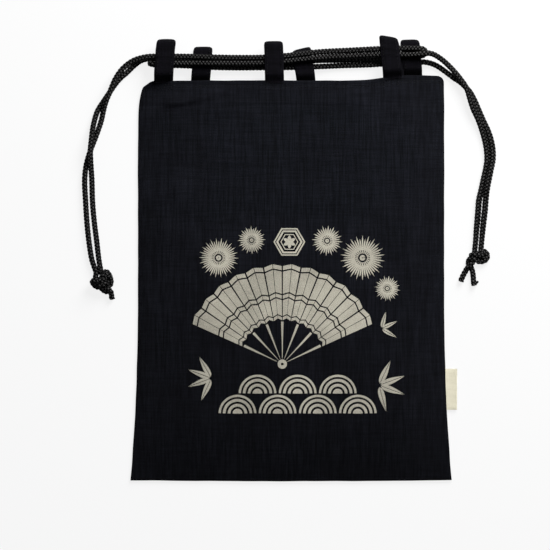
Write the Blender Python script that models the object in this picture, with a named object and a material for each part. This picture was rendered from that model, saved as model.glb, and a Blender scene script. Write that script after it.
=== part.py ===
"""A drawstring pouch (kinchaku), empty and lying flat on its back.

Metres, +Z up. The front faces +Z, +Y points to the mouth and X runs across.
The origin is on the underside of the back panel, in the middle of the pouch.
"""

import math

import bmesh
import bpy
from mathutils import Vector

# Cloth panels
POUCH_HEIGHT = 0.3390
MOUTH_WIDTH = 0.2592
FOOT_FLARE = 0.0062
FLARE_HEIGHT = 0.1530
CLOTH_THICKNESS = 0.0012
CORNER_RADIUS = 0.0060
CORNER_CUT_WIDTH = 0.0085
CORNER_CUT_HEIGHT = 0.0052
MOUTH_RISE = 0.0048
MOUTH_RISE_START = 0.0500
MOUTH_RISE_END = 0.1050
FOOT_BOW = 0.0008

# How far the front panel stands off the back panel
BODY_LOFT = 0.0095
MOUTH_LOFT = 0.0075
FOOT_SLOPE_LENGTH = 0.0900
SIDE_FULLNESS_POWER = 4
FOOT_FULLNESS_POWER = 3
FIT_GAP = 0.0003

# Turned hem round the mouth
HEM_DEPTH = 0.0200
HEM_EDGE_RAMP = 0.0006
HEM_LOFT_SHARE = 0.4

# Cloth loops that carry the drawstrings
LOOP_WIDTH = 0.0162
LOOP_STRAP_THICKNESS = 0.0012
LOOP_STITCHED_LENGTH = 0.0015
LOOP_SPREAD_LENGTH = 0.0055

# Drawstrings and their knots
CORD_DIAMETER = 0.0045
CORD_CLEARANCE = 0.0006
CORD_POINT_SPACING = 0.0135
CORD_POINT_TURN = math.radians(24)
KNOT_TURN_HEIGHT = 0.0029
KNOT_TURN_PITCH = 0.0041
KNOT_SWELL = 0.0012
KNOT_GROOVE = 0.0006
KNOT_END_GROOVE = 0.0003
LEFT_KNOT_REACH = 0.0062
RIGHT_KNOT_REACH = 0.0080
KNOT_TURN_STEPS = 8
TAIL_END_STEPS = 3

# Woven side tag
TAG_WIDTH = 0.0094
TAG_HEIGHT = 0.0350
TAG_THICKNESS = 0.0010
TAG_CENTRE_Y = -0.0930
TAG_CORNER_RADIUS = 0.0008

# Printed shapes on the front, placed from the middle of the print
PRINT_THICKNESS = 0.0003
PRINT_CENTRE = (0.0030, -0.0332)
FAN_PIVOT = (-0.0100, -0.0380)
FAN_RADIUS = 0.0840
FAN_LEAF_DEPTH = 0.0460
FAN_PLEATS = 12
FAN_PLEAT_GAP = math.radians(0.9)
FAN_RIM = 0.0030
FAN_START = math.radians(24)
FAN_END = math.radians(156)
FAN_RIBS = 7
FAN_RIB_WIDTH = math.radians(3.4)
FAN_RIVET_RADIUS = 0.0040
FAN_RIB_GAP = 0.0020
WAVE_RADIUS = 0.0160
WAVE_BANDS = (0.0, 0.30, 0.45, 0.62, 0.77, 1.0)
WAVE_FOOT = math.radians(8)
WAVES = [
    (-0.0480, -0.0800),
    (-0.0140, -0.0800),
    (0.0200, -0.0800),
    (0.0540, -0.0800),
    (-0.0310, -0.0630),
    (0.0030, -0.0630),
    (0.0370, -0.0630),
]
PINE_LOBES = 7
PINE_LOBE_DEPTH = 0.16
PINES = [
    (0.0580, 0.0520, 0.0190),
    (0.0790, 0.0260, 0.0110),
    (0.0280, 0.0665, 0.0130),
    (-0.0640, 0.0520, 0.0170),
    (-0.0360, 0.0670, 0.0120),
]
HEXAGON_CENTRE = (-0.0040, 0.0655)
HEXAGON_RADIUS = 0.0135
HEXAGON_RINGS = (0.0, 0.52, 0.74, 1.0)
HEXAGON_BRIDGE = math.radians(5)
# How far along a leaf each side point lies, and its half width, as shares of the leaf's length
LEAF_SIDES = ((0.12, 0.035), (0.35, 0.115), (0.70, 0.075))
# Each spray's joint, its leaves' length and the directions they point in
LEAF_SPRAYS = [
    (0.0720, -0.0560, 0.0230, (65, 20, -20, -75)),
    (-0.0700, -0.0500, 0.0210, (120, 160, 200, 245)),
    (0.0740, -0.0080, 0.0150, (75, 25, -30)),
]

# Facet sizes
SLICE_SPACING = 0.0180
CORD_BEVEL_RESOLUTION = 2
SOFT_EDGE = 0.0004

HALF_HEIGHT = POUCH_HEIGHT / 2
HALF_MOUTH = MOUTH_WIDTH / 2
SEAM_TOP = 2 * CLOTH_THICKNESS + FIT_GAP
CORD_RADIUS = CORD_DIAMETER / 2


def remove_start_objects():
    for thing in list(bpy.data.objects):
        bpy.data.objects.remove(thing)


def finish(name, colour, roughness, metallic=0.0):
    material = bpy.data.materials.new(name)
    material.use_nodes = True
    shader = material.node_tree.nodes["Principled BSDF"]
    shader.inputs["Base Color"].default_value = (*colour, 1.0)
    shader.inputs["Roughness"].default_value = roughness
    shader.inputs["Metallic"].default_value = metallic
    return material


def navy_cloth():
    return finish("navy_cloth", (0.0080, 0.0085, 0.0120), 0.85)


def strap_cloth():
    return finish("strap_cloth", (0.0050, 0.0048, 0.0075), 0.80)


def braided_cord():
    return finish("braided_cord", (0.0080, 0.0080, 0.0080), 0.60)


def cream_ribbon():
    return finish("cream_ribbon", (0.75, 0.71, 0.55), 0.80)


def printed_ink():
    return finish("printed_ink", (0.37, 0.35, 0.28), 0.80)


def smoothstep(low, high, value):
    share = min(max((value - low) / (high - low), 0.0), 1.0)
    return share * share * (3.0 - 2.0 * share)


def half_width(y):
    """Half of the pouch's width at a height along it: it flares towards its foot."""
    above_foot = y + HALF_HEIGHT
    share = max(1.0 - above_foot / FLARE_HEIGHT, 0.0)
    return HALF_MOUTH + FOOT_FLARE * share * share


def mouth_edge(x):
    """The mouth's edge runs straight across and rises a little on the right."""
    return HALF_HEIGHT + MOUTH_RISE * smoothstep(MOUTH_RISE_START, MOUTH_RISE_END, x)


def fullness(x, y):
    """1 in the middle of the pouch, 0 at the side seams and the foot seam."""
    across = min(abs(x) / half_width(y), 1.0)
    along = min(max((y + HALF_HEIGHT) / FOOT_SLOPE_LENGTH, 0.0), 1.0)
    return (1 - across**SIDE_FULLNESS_POWER) * (1 - (1 - along) ** FOOT_FULLNESS_POWER)


def front_outside(x, y):
    """Height of the front panel's outer surface."""
    loft = BODY_LOFT + (MOUTH_LOFT - BODY_LOFT) * smoothstep(0.0, HALF_HEIGHT, y)
    return SEAM_TOP + loft * fullness(x, y)


def panel_thickness(x, y):
    """One layer of cloth, or two where the hem is turned in."""
    turned = smoothstep(0.0, HEM_EDGE_RAMP, y - (HALF_HEIGHT - HEM_DEPTH))
    second_layer = min(CLOTH_THICKNESS, HEM_LOFT_SHARE * MOUTH_LOFT * fullness(x, y))
    return CLOTH_THICKNESS + turned * second_layer


def front_inside(x, y):
    return front_outside(x, y) - panel_thickness(x, y)


def arc(centre, radius, start, end, steps):
    return [
        (
            centre[0] + radius * math.cos(start + (end - start) * i / steps),
            centre[1] + radius * math.sin(start + (end - start) * i / steps),
        )
        for i in range(steps + 1)
    ]


def panel_outline():
    """The pouch seen from the front, anticlockwise from the foot's left corner."""
    points = []
    foot_steps = 8
    foot_half = half_width(-HALF_HEIGHT)
    for i in range(foot_steps + 1):
        share = -1 + 2 * i / foot_steps
        points.append((share * foot_half, -HALF_HEIGHT - FOOT_BOW * (1 - share * share)))
    side_steps = 14
    right_top = mouth_edge(HALF_MOUTH)
    for i in range(1, side_steps):
        y = -HALF_HEIGHT + (right_top - CORNER_RADIUS + HALF_HEIGHT) * i / side_steps
        points.append((half_width(y), y))
    corner = (HALF_MOUTH - CORNER_RADIUS, right_top - CORNER_RADIUS)
    points += arc(corner, CORNER_RADIUS, 0, math.pi / 2, 4)
    mouth_steps = 28
    mouth_right = HALF_MOUTH - 2 * CORNER_RADIUS
    mouth_left = -HALF_MOUTH + CORNER_CUT_WIDTH
    for i in range(mouth_steps + 1):
        x = mouth_right + (mouth_left - mouth_right) * i / mouth_steps
        points.append((x, mouth_edge(x)))
    left_top = HALF_HEIGHT - CORNER_CUT_HEIGHT
    for i in range(side_steps):
        y = left_top + (-HALF_HEIGHT - left_top) * i / side_steps
        points.append((-half_width(y), y))
    return points


def flat_faces(outlines):
    """A flat mesh with one face for each outline."""
    flat = bmesh.new()
    for outline in outlines:
        flat.faces.new([flat.verts.new((x, y, 0.0)) for x, y in outline])
    return flat


def cut_across(flat, axis, place):
    """Cuts every face of a flat mesh along one straight line."""
    at = [0.0, 0.0, 0.0]
    normal = [0.0, 0.0, 0.0]
    at[axis] = place
    normal[axis] = 1.0
    everything = flat.verts[:] + flat.edges[:] + flat.faces[:]
    bmesh.ops.bisect_plane(flat, geom=everything, dist=1e-7, plane_co=at, plane_no=normal)


def slice_flat(flat, spacing):
    """Cuts a flat mesh into a grid, so that it can follow a curved surface."""
    for axis in (0, 1):
        places = [v.co[axis] for v in flat.verts]
        first = math.ceil(min(places) / spacing)
        last = math.floor(max(places) / spacing)
        for i in range(first, last + 1):
            cut_across(flat, axis, i * spacing)


def sheet_object(name, flat, lower, upper, material):
    """Turns a flat mesh into a closed sheet between two height functions."""
    bmesh.ops.triangulate(flat, faces=flat.faces[:])
    lifted = bmesh.ops.extrude_face_region(flat, geom=flat.faces[:], use_keep_orig=True)
    top = {v for v in lifted["geom"] if isinstance(v, bmesh.types.BMVert)}
    for vertex in flat.verts:
        surface = upper if vertex in top else lower
        vertex.co.z = surface(vertex.co.x, vertex.co.y)
    bmesh.ops.recalc_face_normals(flat, faces=flat.faces[:])
    return mesh_object(name, flat, material)


def mesh_object(name, shape, material, smooth_angle=math.radians(40)):
    mesh = bpy.data.meshes.new(name)
    shape.to_mesh(mesh)
    shape.free()
    mesh.materials.append(material)
    mesh.shade_smooth()
    mesh.set_sharp_from_angle(angle=smooth_angle)
    thing = bpy.data.objects.new(name, mesh)
    bpy.context.scene.collection.objects.link(thing)
    return thing


def soften_rim(thing):
    """A folded cloth edge is round, not square."""
    bevel = thing.modifiers.new("soft_rim", "BEVEL")
    bevel.width = SOFT_EDGE
    bevel.segments = 1
    bevel.limit_method = "ANGLE"
    bevel.angle_limit = math.radians(60)


def panel_flat(spacing):
    """The panel's outline, cut into a grid and along the edge of the hem."""
    flat = flat_faces([panel_outline()])
    slice_flat(flat, spacing)
    hem_line = HALF_HEIGHT - HEM_DEPTH
    cut_across(flat, 1, hem_line)
    cut_across(flat, 1, hem_line + HEM_EDGE_RAMP)
    return flat


def floor_level(x, y):
    return 0.0


def make_panels(cloth):
    front_flat = panel_flat(SLICE_SPACING)
    soften_rim(sheet_object("front_panel", front_flat, front_inside, front_outside, cloth))
    back_flat = panel_flat(2 * SLICE_SPACING)
    soften_rim(sheet_object("back_panel", back_flat, floor_level, panel_thickness, cloth))


def between(a, b, low, high, value):
    return a.lerp(b, (value - low) / (high - low))


def smooth_curve(points):
    """Closely spaced points on a centripetal curve through the given points."""
    places = [Vector(p) for p in points]
    places = [places[0] * 2 - places[1], *places, places[-1] * 2 - places[-2]]
    steps = 12
    dense = []
    for a, b, c, d in zip(places, places[1:], places[2:], places[3:]):
        k1 = (b - a).length ** 0.5
        k2 = k1 + (c - b).length ** 0.5
        k3 = k2 + (d - c).length ** 0.5
        for i in range(steps):
            t = k1 + (k2 - k1) * i / steps
            ab = between(a, b, 0.0, k1, t)
            bc = between(b, c, k1, k2, t)
            cd = between(c, d, k2, k3, t)
            dense.append(between(between(ab, bc, 0.0, k2, t), between(bc, cd, k1, k3, t), k1, k2, t))
    dense.append(places[-2])
    return dense


def cord_points(route):
    """Points for a tube: a few diameters apart, and closer where it turns."""
    dense = smooth_curve(route)
    points = [dense[0]]
    gone = 0.0
    last_way = dense[1] - dense[0]
    for a, b, c in zip(dense, dense[1:], dense[2:]):
        gone += (b - a).length
        way = c - b
        if gone > CORD_POINT_SPACING or way.angle(last_way) > CORD_POINT_TURN:
            points.append(b)
            gone = 0.0
            last_way = way
    if gone < CORD_DIAMETER:
        points.pop()
    points.append(dense[-1])
    return [Vector((p.x, p.y, max(p.z, LAID_CORD_Z))) for p in points]


# Heights of what lies on the floor at the mouth, from the floor up
LAID_CORD_Z = CORD_RADIUS + 0.5 * FIT_GAP
BACK_CORD_Z = LOOP_STRAP_THICKNESS + CORD_CLEARANCE + CORD_RADIUS
BACK_LOOP_TOP = BACK_CORD_Z + CORD_RADIUS + CORD_CLEARANCE + LOOP_STRAP_THICKNESS
FRONT_CORD_Z = BACK_LOOP_TOP + FIT_GAP + CORD_RADIUS
LEG_SPREAD = CORD_RADIUS + CORD_CLEARANCE + LOOP_STRAP_THICKNESS / 2


def loop_profile(root_z, cord_z, length):
    """A strap's middle line from its root: out over the cords and back under them."""
    half_root = (LOOP_STRAP_THICKNESS + FIT_GAP) / 2
    bend = length - LOOP_STRAP_THICKNESS / 2 - LEG_SPREAD
    stitched = LOOP_STITCHED_LENGTH
    spread = stitched + LOOP_SPREAD_LENGTH
    upper = [(0.0, root_z + half_root), (stitched, root_z + half_root)]
    upper += [(spread, cord_z + LEG_SPREAD)]
    fold = arc((bend, cord_z), LEG_SPREAD, math.pi / 2, -math.pi / 2, 8)
    lower = [(spread, cord_z - LEG_SPREAD)]
    lower += [(stitched, root_z - half_root), (0.0, root_z - half_root)]
    return upper + fold + lower


def make_loop(name, centre_x, lean, skew, length, root_z, cord_z, cloth):
    """A folded strap sewn to the mouth's edge, with the cords inside it."""
    root_y = mouth_edge(centre_x) + FIT_GAP
    strap = bmesh.new()
    rows = []
    for side in (-1, 1):
        x = centre_x + side * LOOP_WIDTH / 2
        edge_step = mouth_edge(x) - mouth_edge(centre_x)
        row = []
        for out, z in loop_profile(root_z, cord_z, length):
            share = out / length
            y = root_y + out + (1 - share) * edge_step + share * side * skew / 2
            row.append(strap.verts.new((x + lean * share, y, z)))
        rows.append(row)
    for a, b, c, d in zip(rows[0], rows[0][1:], rows[1][1:], rows[1]):
        strap.faces.new((a, b, c, d))
    thing = mesh_object(name, strap, cloth)
    solid = thing.modifiers.new("strap_thickness", "SOLIDIFY")
    solid.thickness = LOOP_STRAP_THICKNESS
    solid.offset = 0.0
    solid.use_even_offset = True
    return thing


# Each loop's middle at its root, its lean, the slant of its end, and its length
FRONT_LOOPS = {
    "front_loop_left": (-0.1080, 0.0026, 0.0000, 0.0346),
    "front_loop_centre": (-0.0136, -0.0008, 0.0000, 0.0329),
    "front_loop_right": (0.0866, -0.0036, -0.0030, 0.0334),
}
BACK_LOOPS = {
    "back_loop_left": (-0.0768, 0.0026, 0.0000, 0.0278),
    "back_loop_centre": (0.0136, -0.0044, 0.0040, 0.0272),
    "back_loop_right": (0.1042, -0.0028, 0.0000, 0.0300),
}


def make_loops(cloth):
    for name, (x, lean, skew, length) in FRONT_LOOPS.items():
        edge = mouth_edge(x)
        root_z = (front_outside(x, edge) + front_inside(x, edge)) / 2
        make_loop(name, x, lean, skew, length, root_z, FRONT_CORD_Z, cloth)
    for name, (x, lean, skew, length) in BACK_LOOPS.items():
        root_z = LOOP_STRAP_THICKNESS + FIT_GAP / 2
        make_loop(name, x, lean, skew, length, root_z, BACK_CORD_Z, cloth)


# Routes of the two drawstrings, in metres, from each knot and back to it
LEFT_TAIL_OVER = [
    (-0.1663, 0.0094, LAID_CORD_Z),
    (-0.1689, 0.0170, LAID_CORD_Z),
    (-0.1711, 0.0298, LAID_CORD_Z),
    (-0.1730, 0.0468, LAID_CORD_Z),
    (-0.1744, 0.0680, LAID_CORD_Z),
    (-0.1751, 0.0850, LAID_CORD_Z),
    (-0.1739, 0.0970, LAID_CORD_Z),
    (-0.1706, 0.1090, LAID_CORD_Z),
    (-0.1656, 0.1220, LAID_CORD_Z),
    (-0.1611, 0.1350, LAID_CORD_Z),
    (-0.1589, 0.1445, 0.0040),
    (-0.1566, 0.1520, 0.0068),
    (-0.1532, 0.1600, 0.0074),
    (-0.1485, 0.1710, 0.0070),
    (-0.1425, 0.1795, 0.0064),
    (-0.1335, 0.1862, 0.0074),
    (-0.1225, 0.1892, 0.0098),
    (-0.1150, 0.1896, FRONT_CORD_Z),
]
LEFT_CORD_FRONT_RUN = [
    (-0.0980, 0.1896, FRONT_CORD_Z),
    (-0.0870, 0.1895, FRONT_CORD_Z),
    (-0.0660, 0.1893, FRONT_CORD_Z),
    (-0.0450, 0.1893, 0.0094),
    (-0.0240, 0.1895, FRONT_CORD_Z),
    (-0.0050, 0.1900, FRONT_CORD_Z),
    (0.0240, 0.1928, FRONT_CORD_Z),
    (0.0500, 0.1948, 0.0094),
    (0.0760, 0.1960, FRONT_CORD_Z),
    (0.0930, 0.1965, FRONT_CORD_Z),
]
LEFT_CORD_TURN = [
    (0.1103, 0.1962, FRONT_CORD_Z),
    (0.1134, 0.1953, 0.0097),
    (0.1147, 0.1933, 0.0073),
    (0.1134, 0.1913, 0.0050),
    (0.1103, 0.1904, BACK_CORD_Z),
]
LEFT_CORD_BACK_RUN = [
    (0.0950, 0.1896, BACK_CORD_Z),
    (0.0820, 0.1880, 0.0026),
    (0.0693, 0.1868, LAID_CORD_Z),
    (0.0440, 0.1870, LAID_CORD_Z),
    (0.0230, 0.1874, BACK_CORD_Z),
    (0.0030, 0.1868, BACK_CORD_Z),
    (-0.0149, 0.1858, LAID_CORD_Z),
    (-0.0430, 0.1862, LAID_CORD_Z),
    (-0.0640, 0.1868, BACK_CORD_Z),
    (-0.0870, 0.1878, BACK_CORD_Z),
    (-0.1000, 0.1882, 0.0027),
    (-0.1110, 0.1884, LAID_CORD_Z),
]
LEFT_TAIL_UNDER = [
    (-0.1220, 0.1880, LAID_CORD_Z),
    (-0.1275, 0.1864, LAID_CORD_Z),
    (-0.1335, 0.1820, LAID_CORD_Z),
    (-0.1389, 0.1767, LAID_CORD_Z),
    (-0.1447, 0.1717, LAID_CORD_Z),
    (-0.1492, 0.1664, LAID_CORD_Z),
    (-0.1536, 0.1600, LAID_CORD_Z),
    (-0.1590, 0.1520, LAID_CORD_Z),
    (-0.1641, 0.1438, LAID_CORD_Z),
    (-0.1669, 0.1352, LAID_CORD_Z),
    (-0.1683, 0.1275, 0.0044),
    (-0.1690, 0.1200, 0.0068),
    (-0.1699, 0.1110, 0.0074),
    (-0.1698, 0.1020, 0.0064),
    (-0.1694, 0.0930, 0.0038),
    (-0.1690, 0.0850, LAID_CORD_Z),
    (-0.1684, 0.0660, LAID_CORD_Z),
    (-0.1668, 0.0480, LAID_CORD_Z),
    (-0.1650, 0.0340, LAID_CORD_Z),
    (-0.1630, 0.0170, LAID_CORD_Z),
    (-0.1615, 0.0085, LAID_CORD_Z),
]
RIGHT_TAIL_OVER = [
    (0.1568, 0.0260, LAID_CORD_Z),
    (0.1576, 0.0340, LAID_CORD_Z),
    (0.1582, 0.0425, LAID_CORD_Z),
    (0.1590, 0.0510, LAID_CORD_Z),
    (0.1597, 0.0595, LAID_CORD_Z),
    (0.1604, 0.0680, LAID_CORD_Z),
    (0.1624, 0.0765, LAID_CORD_Z),
    (0.1642, 0.0850, LAID_CORD_Z),
    (0.1660, 0.0940, LAID_CORD_Z),
    (0.1670, 0.1020, LAID_CORD_Z),
    (0.1664, 0.1107, LAID_CORD_Z),
    (0.1646, 0.1195, LAID_CORD_Z),
    (0.1620, 0.1285, 0.0030),
    (0.1590, 0.1370, 0.0046),
    (0.1553, 0.1457, 0.0056),
    (0.1524, 0.1540, 0.0066),
    (0.1503, 0.1607, 0.0073),
    (0.1477, 0.1660, 0.0074),
    (0.1458, 0.1686, 0.0073),
    (0.1418, 0.1739, 0.0068),
    (0.1352, 0.1812, 0.0066),
    (0.1275, 0.1878, 0.0084),
    (0.1195, 0.1918, 0.0120),
    (0.1135, 0.1920, 0.0133),
]
RIGHT_CORD_FRONT_RUN = [
    (0.1075, 0.1915, 0.0122),
    (0.0990, 0.1912, FRONT_CORD_Z),
    (0.0760, 0.1909, FRONT_CORD_Z),
    (0.0500, 0.1896, 0.0094),
    (0.0240, 0.1875, FRONT_CORD_Z),
    (-0.0050, 0.1847, FRONT_CORD_Z),
    (-0.0240, 0.1842, FRONT_CORD_Z),
    (-0.0450, 0.1839, 0.0094),
    (-0.0660, 0.1840, FRONT_CORD_Z),
    (-0.0870, 0.1841, FRONT_CORD_Z),
]
RIGHT_CORD_TURN = [
    (-0.1080, 0.1841, FRONT_CORD_Z),
    (-0.1150, 0.1841, FRONT_CORD_Z),
    (-0.1179, 0.1840, 0.0094),
    (-0.1192, 0.1838, 0.0065),
    (-0.1179, 0.1835, 0.0036),
    (-0.1150, 0.1831, LAID_CORD_Z),
]
RIGHT_CORD_BACK_RUN = [
    (-0.0990, 0.1826, LAID_CORD_Z),
    (-0.0870, 0.1821, BACK_CORD_Z),
    (-0.0640, 0.1808, BACK_CORD_Z),
    (-0.0430, 0.1796, LAID_CORD_Z),
    (-0.0149, 0.1792, LAID_CORD_Z),
    (0.0030, 0.1796, BACK_CORD_Z),
    (0.0230, 0.1812, BACK_CORD_Z),
    (0.0440, 0.1818, LAID_CORD_Z),
    (0.0693, 0.1820, LAID_CORD_Z),
    (0.0820, 0.1830, 0.0026),
    (0.0950, 0.1844, BACK_CORD_Z),
    (0.1085, 0.1853, BACK_CORD_Z),
]
RIGHT_TAIL_UNDER = [
    (0.1140, 0.1853, 0.0036),
    (0.1195, 0.1843, 0.0025),
    (0.1249, 0.1820, LAID_CORD_Z),
    (0.1324, 0.1768, LAID_CORD_Z),
    (0.1392, 0.1717, LAID_CORD_Z),
    (0.1446, 0.1682, LAID_CORD_Z),
    (0.1490, 0.1640, LAID_CORD_Z),
    (0.1526, 0.1601, LAID_CORD_Z),
    (0.1568, 0.1522, LAID_CORD_Z),
    (0.1603, 0.1437, LAID_CORD_Z),
    (0.1644, 0.1350, LAID_CORD_Z),
    (0.1685, 0.1266, LAID_CORD_Z),
    (0.1711, 0.1185, LAID_CORD_Z),
    (0.1725, 0.1103, LAID_CORD_Z),
    (0.1722, 0.1020, 0.0036),
    (0.1702, 0.0941, 0.0054),
    (0.1684, 0.0854, 0.0056),
    (0.1668, 0.0767, 0.0050),
    (0.1660, 0.0680, 0.0028),
    (0.1657, 0.0595, LAID_CORD_Z),
    (0.1649, 0.0510, LAID_CORD_Z),
    (0.1641, 0.0425, LAID_CORD_Z),
    (0.1632, 0.0340, LAID_CORD_Z),
    (0.1620, 0.0260, LAID_CORD_Z),
]


def left_cord_route():
    front = LEFT_TAIL_OVER + LEFT_CORD_FRONT_RUN
    return front + LEFT_CORD_TURN + LEFT_CORD_BACK_RUN + LEFT_TAIL_UNDER


def right_cord_route():
    front = RIGHT_TAIL_OVER + RIGHT_CORD_FRONT_RUN
    return front + RIGHT_CORD_TURN + RIGHT_CORD_BACK_RUN + RIGHT_TAIL_UNDER


def make_cord(name, route, material):
    curve = bpy.data.curves.new(name, "CURVE")
    curve.dimensions = "3D"
    curve.bevel_depth = CORD_RADIUS
    curve.bevel_resolution = CORD_BEVEL_RESOLUTION
    curve.use_fill_caps = True
    curve.materials.append(material)
    spline = curve.splines.new("POLY")
    points = cord_points(route)
    spline.points.add(len(points) - 1)
    for point, place in zip(spline.points, points):
        point.co = (*place, 1.0)
    thing = bpy.data.objects.new(name, curve)
    bpy.context.scene.collection.objects.link(thing)
    return thing


def tube(points, radius, lying_across, closed=False, sides=10):
    """A round tube along the points: a ring, or a rod with rounded ends."""
    shape = bmesh.new()
    places = [Vector(p) for p in points]
    rings = [(place, radius) for place in places]
    if not closed:
        first = (places[0] - places[1]).normalized()
        last = (places[-1] - places[-2]).normalized()
        for step in range(1, TAIL_END_STEPS + 1):
            angle = step / (TAIL_END_STEPS + 1) * math.pi / 2
            out = radius * math.sin(angle)
            size = radius * math.cos(angle)
            rings.insert(0, (places[0] + first * out, size))
            rings.append((places[-1] + last * out, size))
    loops = []
    count = len(rings)
    for i, (place, size) in enumerate(rings):
        behind = rings[(i - 1) % count][0] if closed or i else place
        ahead = rings[(i + 1) % count][0] if closed or i < count - 1 else place
        way = (ahead - behind).normalized()
        side = way.cross(lying_across).normalized()
        up = side.cross(way)
        angles = [2 * math.pi * k / sides for k in range(sides)]
        ring = [place + size * (math.cos(a) * side + math.sin(a) * up) for a in angles]
        loops.append([shape.verts.new(p) for p in ring])
    pairs = list(zip(loops, loops[1:]))
    if closed:
        pairs.append((loops[-1], loops[0]))
    for a, b in pairs:
        for k in range(sides):
            m = (k + 1) % sides
            shape.faces.new((a[k], b[k], b[m], a[m]))
    if not closed:
        shape.faces.new(loops[0])
        shape.faces.new(loops[-1][::-1])
    bmesh.ops.recalc_face_normals(shape, faces=shape.faces[:])
    return shape


def hidden_member(name, shape, material, members):
    """A piece that a Boolean joins on, kept out of the view."""
    thing = mesh_object(name, shape, material)
    thing.hide_render = True
    thing.display_type = "WIRE"
    bpy.context.scene.collection.objects.unlink(thing)
    members.objects.link(thing)


def make_knot(name, centre, tilt, reach, strands, material):
    """A tightened knot: two turns of doubled cord round the strands, and cut tails."""
    members = bpy.data.collections.new(name + "_members")
    bpy.context.scene.collection.children.link(members)
    middle = Vector((*centre, KNOT_TURN_HEIGHT + CORD_RADIUS + FIT_GAP / 2))
    along = Vector((-math.sin(tilt), math.cos(tilt), 0.0))
    across = Vector((math.cos(tilt), math.sin(tilt), 0.0))
    up = Vector((0.0, 0.0, 1.0))

    def turn_of_cord(shift):
        """Points once round the knot, a little slanted along it."""
        ring = []
        for end in (1, -1):
            for i in range(KNOT_TURN_STEPS + 1):
                a = math.pi * (i / KNOT_TURN_STEPS - end / 2)
                place = middle + along * (shift + KNOT_SWELL * math.sin(a))
                place += across * (end * (reach - KNOT_TURN_HEIGHT) + KNOT_TURN_HEIGHT * math.cos(a))
                ring.append(place + up * (KNOT_TURN_HEIGHT * math.sin(a)))
        return ring

    for side in (-1, 1):
        turn = tube(turn_of_cord(side * KNOT_TURN_PITCH / 2), CORD_RADIUS, along, closed=True)
        hidden_member(f"{name}_turn", turn, material, members)
    for points in strands:
        hidden_member(f"{name}_strand", tube(points, CORD_RADIUS, up), material, members)
    core = bmesh.new()
    bmesh.ops.create_uvsphere(core, u_segments=20, v_segments=12, radius=1.0)
    size = (
        reach + CORD_RADIUS - KNOT_GROOVE,
        KNOT_TURN_PITCH / 2 + CORD_RADIUS - KNOT_END_GROOVE,
        KNOT_TURN_HEIGHT + CORD_RADIUS - KNOT_GROOVE,
    )
    for vertex in core.verts:
        x, y, z = (a * b for a, b in zip(vertex.co, size))
        vertex.co = middle + across * x + along * y + up * z
    knot = mesh_object(name, core, material)
    join = knot.modifiers.new("strands", "BOOLEAN")
    join.solver = "EXACT"
    join.operation = "UNION"
    join.operand_type = "COLLECTION"
    join.collection = members
    return knot


def knot_entry(route, end, inside):
    """A strand from just past a cord's end to a point inside its knot."""
    last = Vector(route[end])
    way = (Vector(inside) - last).normalized()
    start = last + way * (FIT_GAP + CORD_RADIUS)
    return [start, Vector(inside)]


# Each knot's middle, where its two strands end inside it, and its cut tails
LEFT_KNOT = (-0.1596, -0.0006)
LEFT_KNOT_INSIDE = [(-0.1632, 0.0006, 0.0050), (-0.1602, 0.0010, 0.0046)]
LEFT_KNOT_TAILS = [
    [(-0.1560, -0.0020, 0.0052), (-0.1540, -0.0062, 0.0052), (-0.1520, -0.0132, 0.0038)],
    [(-0.1590, -0.0020, 0.0040), (-0.1566, -0.0072, 0.0026), (-0.1560, -0.0100, 0.0025)],
]
RIGHT_KNOT = (0.1569, 0.0168)
RIGHT_KNOT_INSIDE = [(0.1574, 0.0178, 0.0048), (0.1604, 0.0180, 0.0048)]
RIGHT_KNOT_TAILS = [
    [(0.1530, 0.0155, 0.0044), (0.1492, 0.0102, 0.0028), (0.1450, 0.0008, 0.0024)],
    [(0.1560, 0.0150, 0.0044), (0.1537, 0.0090, 0.0028), (0.1559, -0.0026, 0.0024)],
]


def make_knots(material):
    route = left_cord_route()
    entries = [knot_entry(route, end, LEFT_KNOT_INSIDE[end]) for end in (0, -1)]
    strands = entries + LEFT_KNOT_TAILS
    make_knot("knot_left", LEFT_KNOT, math.radians(-20), LEFT_KNOT_REACH, strands, material)
    route = right_cord_route()
    entries = [knot_entry(route, end, RIGHT_KNOT_INSIDE[end]) for end in (0, -1)]
    strands = entries + RIGHT_KNOT_TAILS
    make_knot("knot_right", RIGHT_KNOT, math.radians(11), RIGHT_KNOT_REACH, strands, material)


def printed_underside(x, y):
    return front_outside(x, y) + FIT_GAP


def printed_top(x, y):
    return printed_underside(x, y) + PRINT_THICKNESS


def lay_print(name, flat, ink):
    """Lays a flat shape on the front panel as a thin field of colour."""
    bmesh.ops.translate(flat, verts=flat.verts[:], vec=(*PRINT_CENTRE, 0.0))
    slice_flat(flat, SLICE_SPACING)
    return sheet_object(name, flat, printed_underside, printed_top, ink)


def polar_shape(centre, rings, angles, kept, reach=lambda angle: 1.0):
    """The kept cells of a grid of rings and angles round a centre."""
    flat = bmesh.new()
    grid = []
    for ring in rings:
        row = []
        for a in angles:
            r = ring * reach(a)
            row.append(flat.verts.new((centre[0] + r * math.cos(a), centre[1] + r * math.sin(a), 0.0)))
        grid.append(row)
    for i, (inner, outer) in enumerate(zip(grid, grid[1:])):
        for j in range(len(angles) - 1):
            if kept(i, j):
                flat.faces.new((inner[j], outer[j], outer[j + 1], inner[j + 1]))
    bmesh.ops.remove_doubles(flat, verts=flat.verts[:], dist=1e-6)
    loose = [v for v in flat.verts if not v.link_faces]
    bmesh.ops.delete(flat, geom=loose, context="VERTS")
    return flat


def banded_angles(count, start, end, gap):
    """Angles of `count` equal bands with a gap between neighbours."""
    width = (end - start - (count - 1) * gap) / count
    angles = []
    for i in range(count):
        low = start + i * (width + gap)
        angles += [low, low + width]
    return angles


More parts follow.
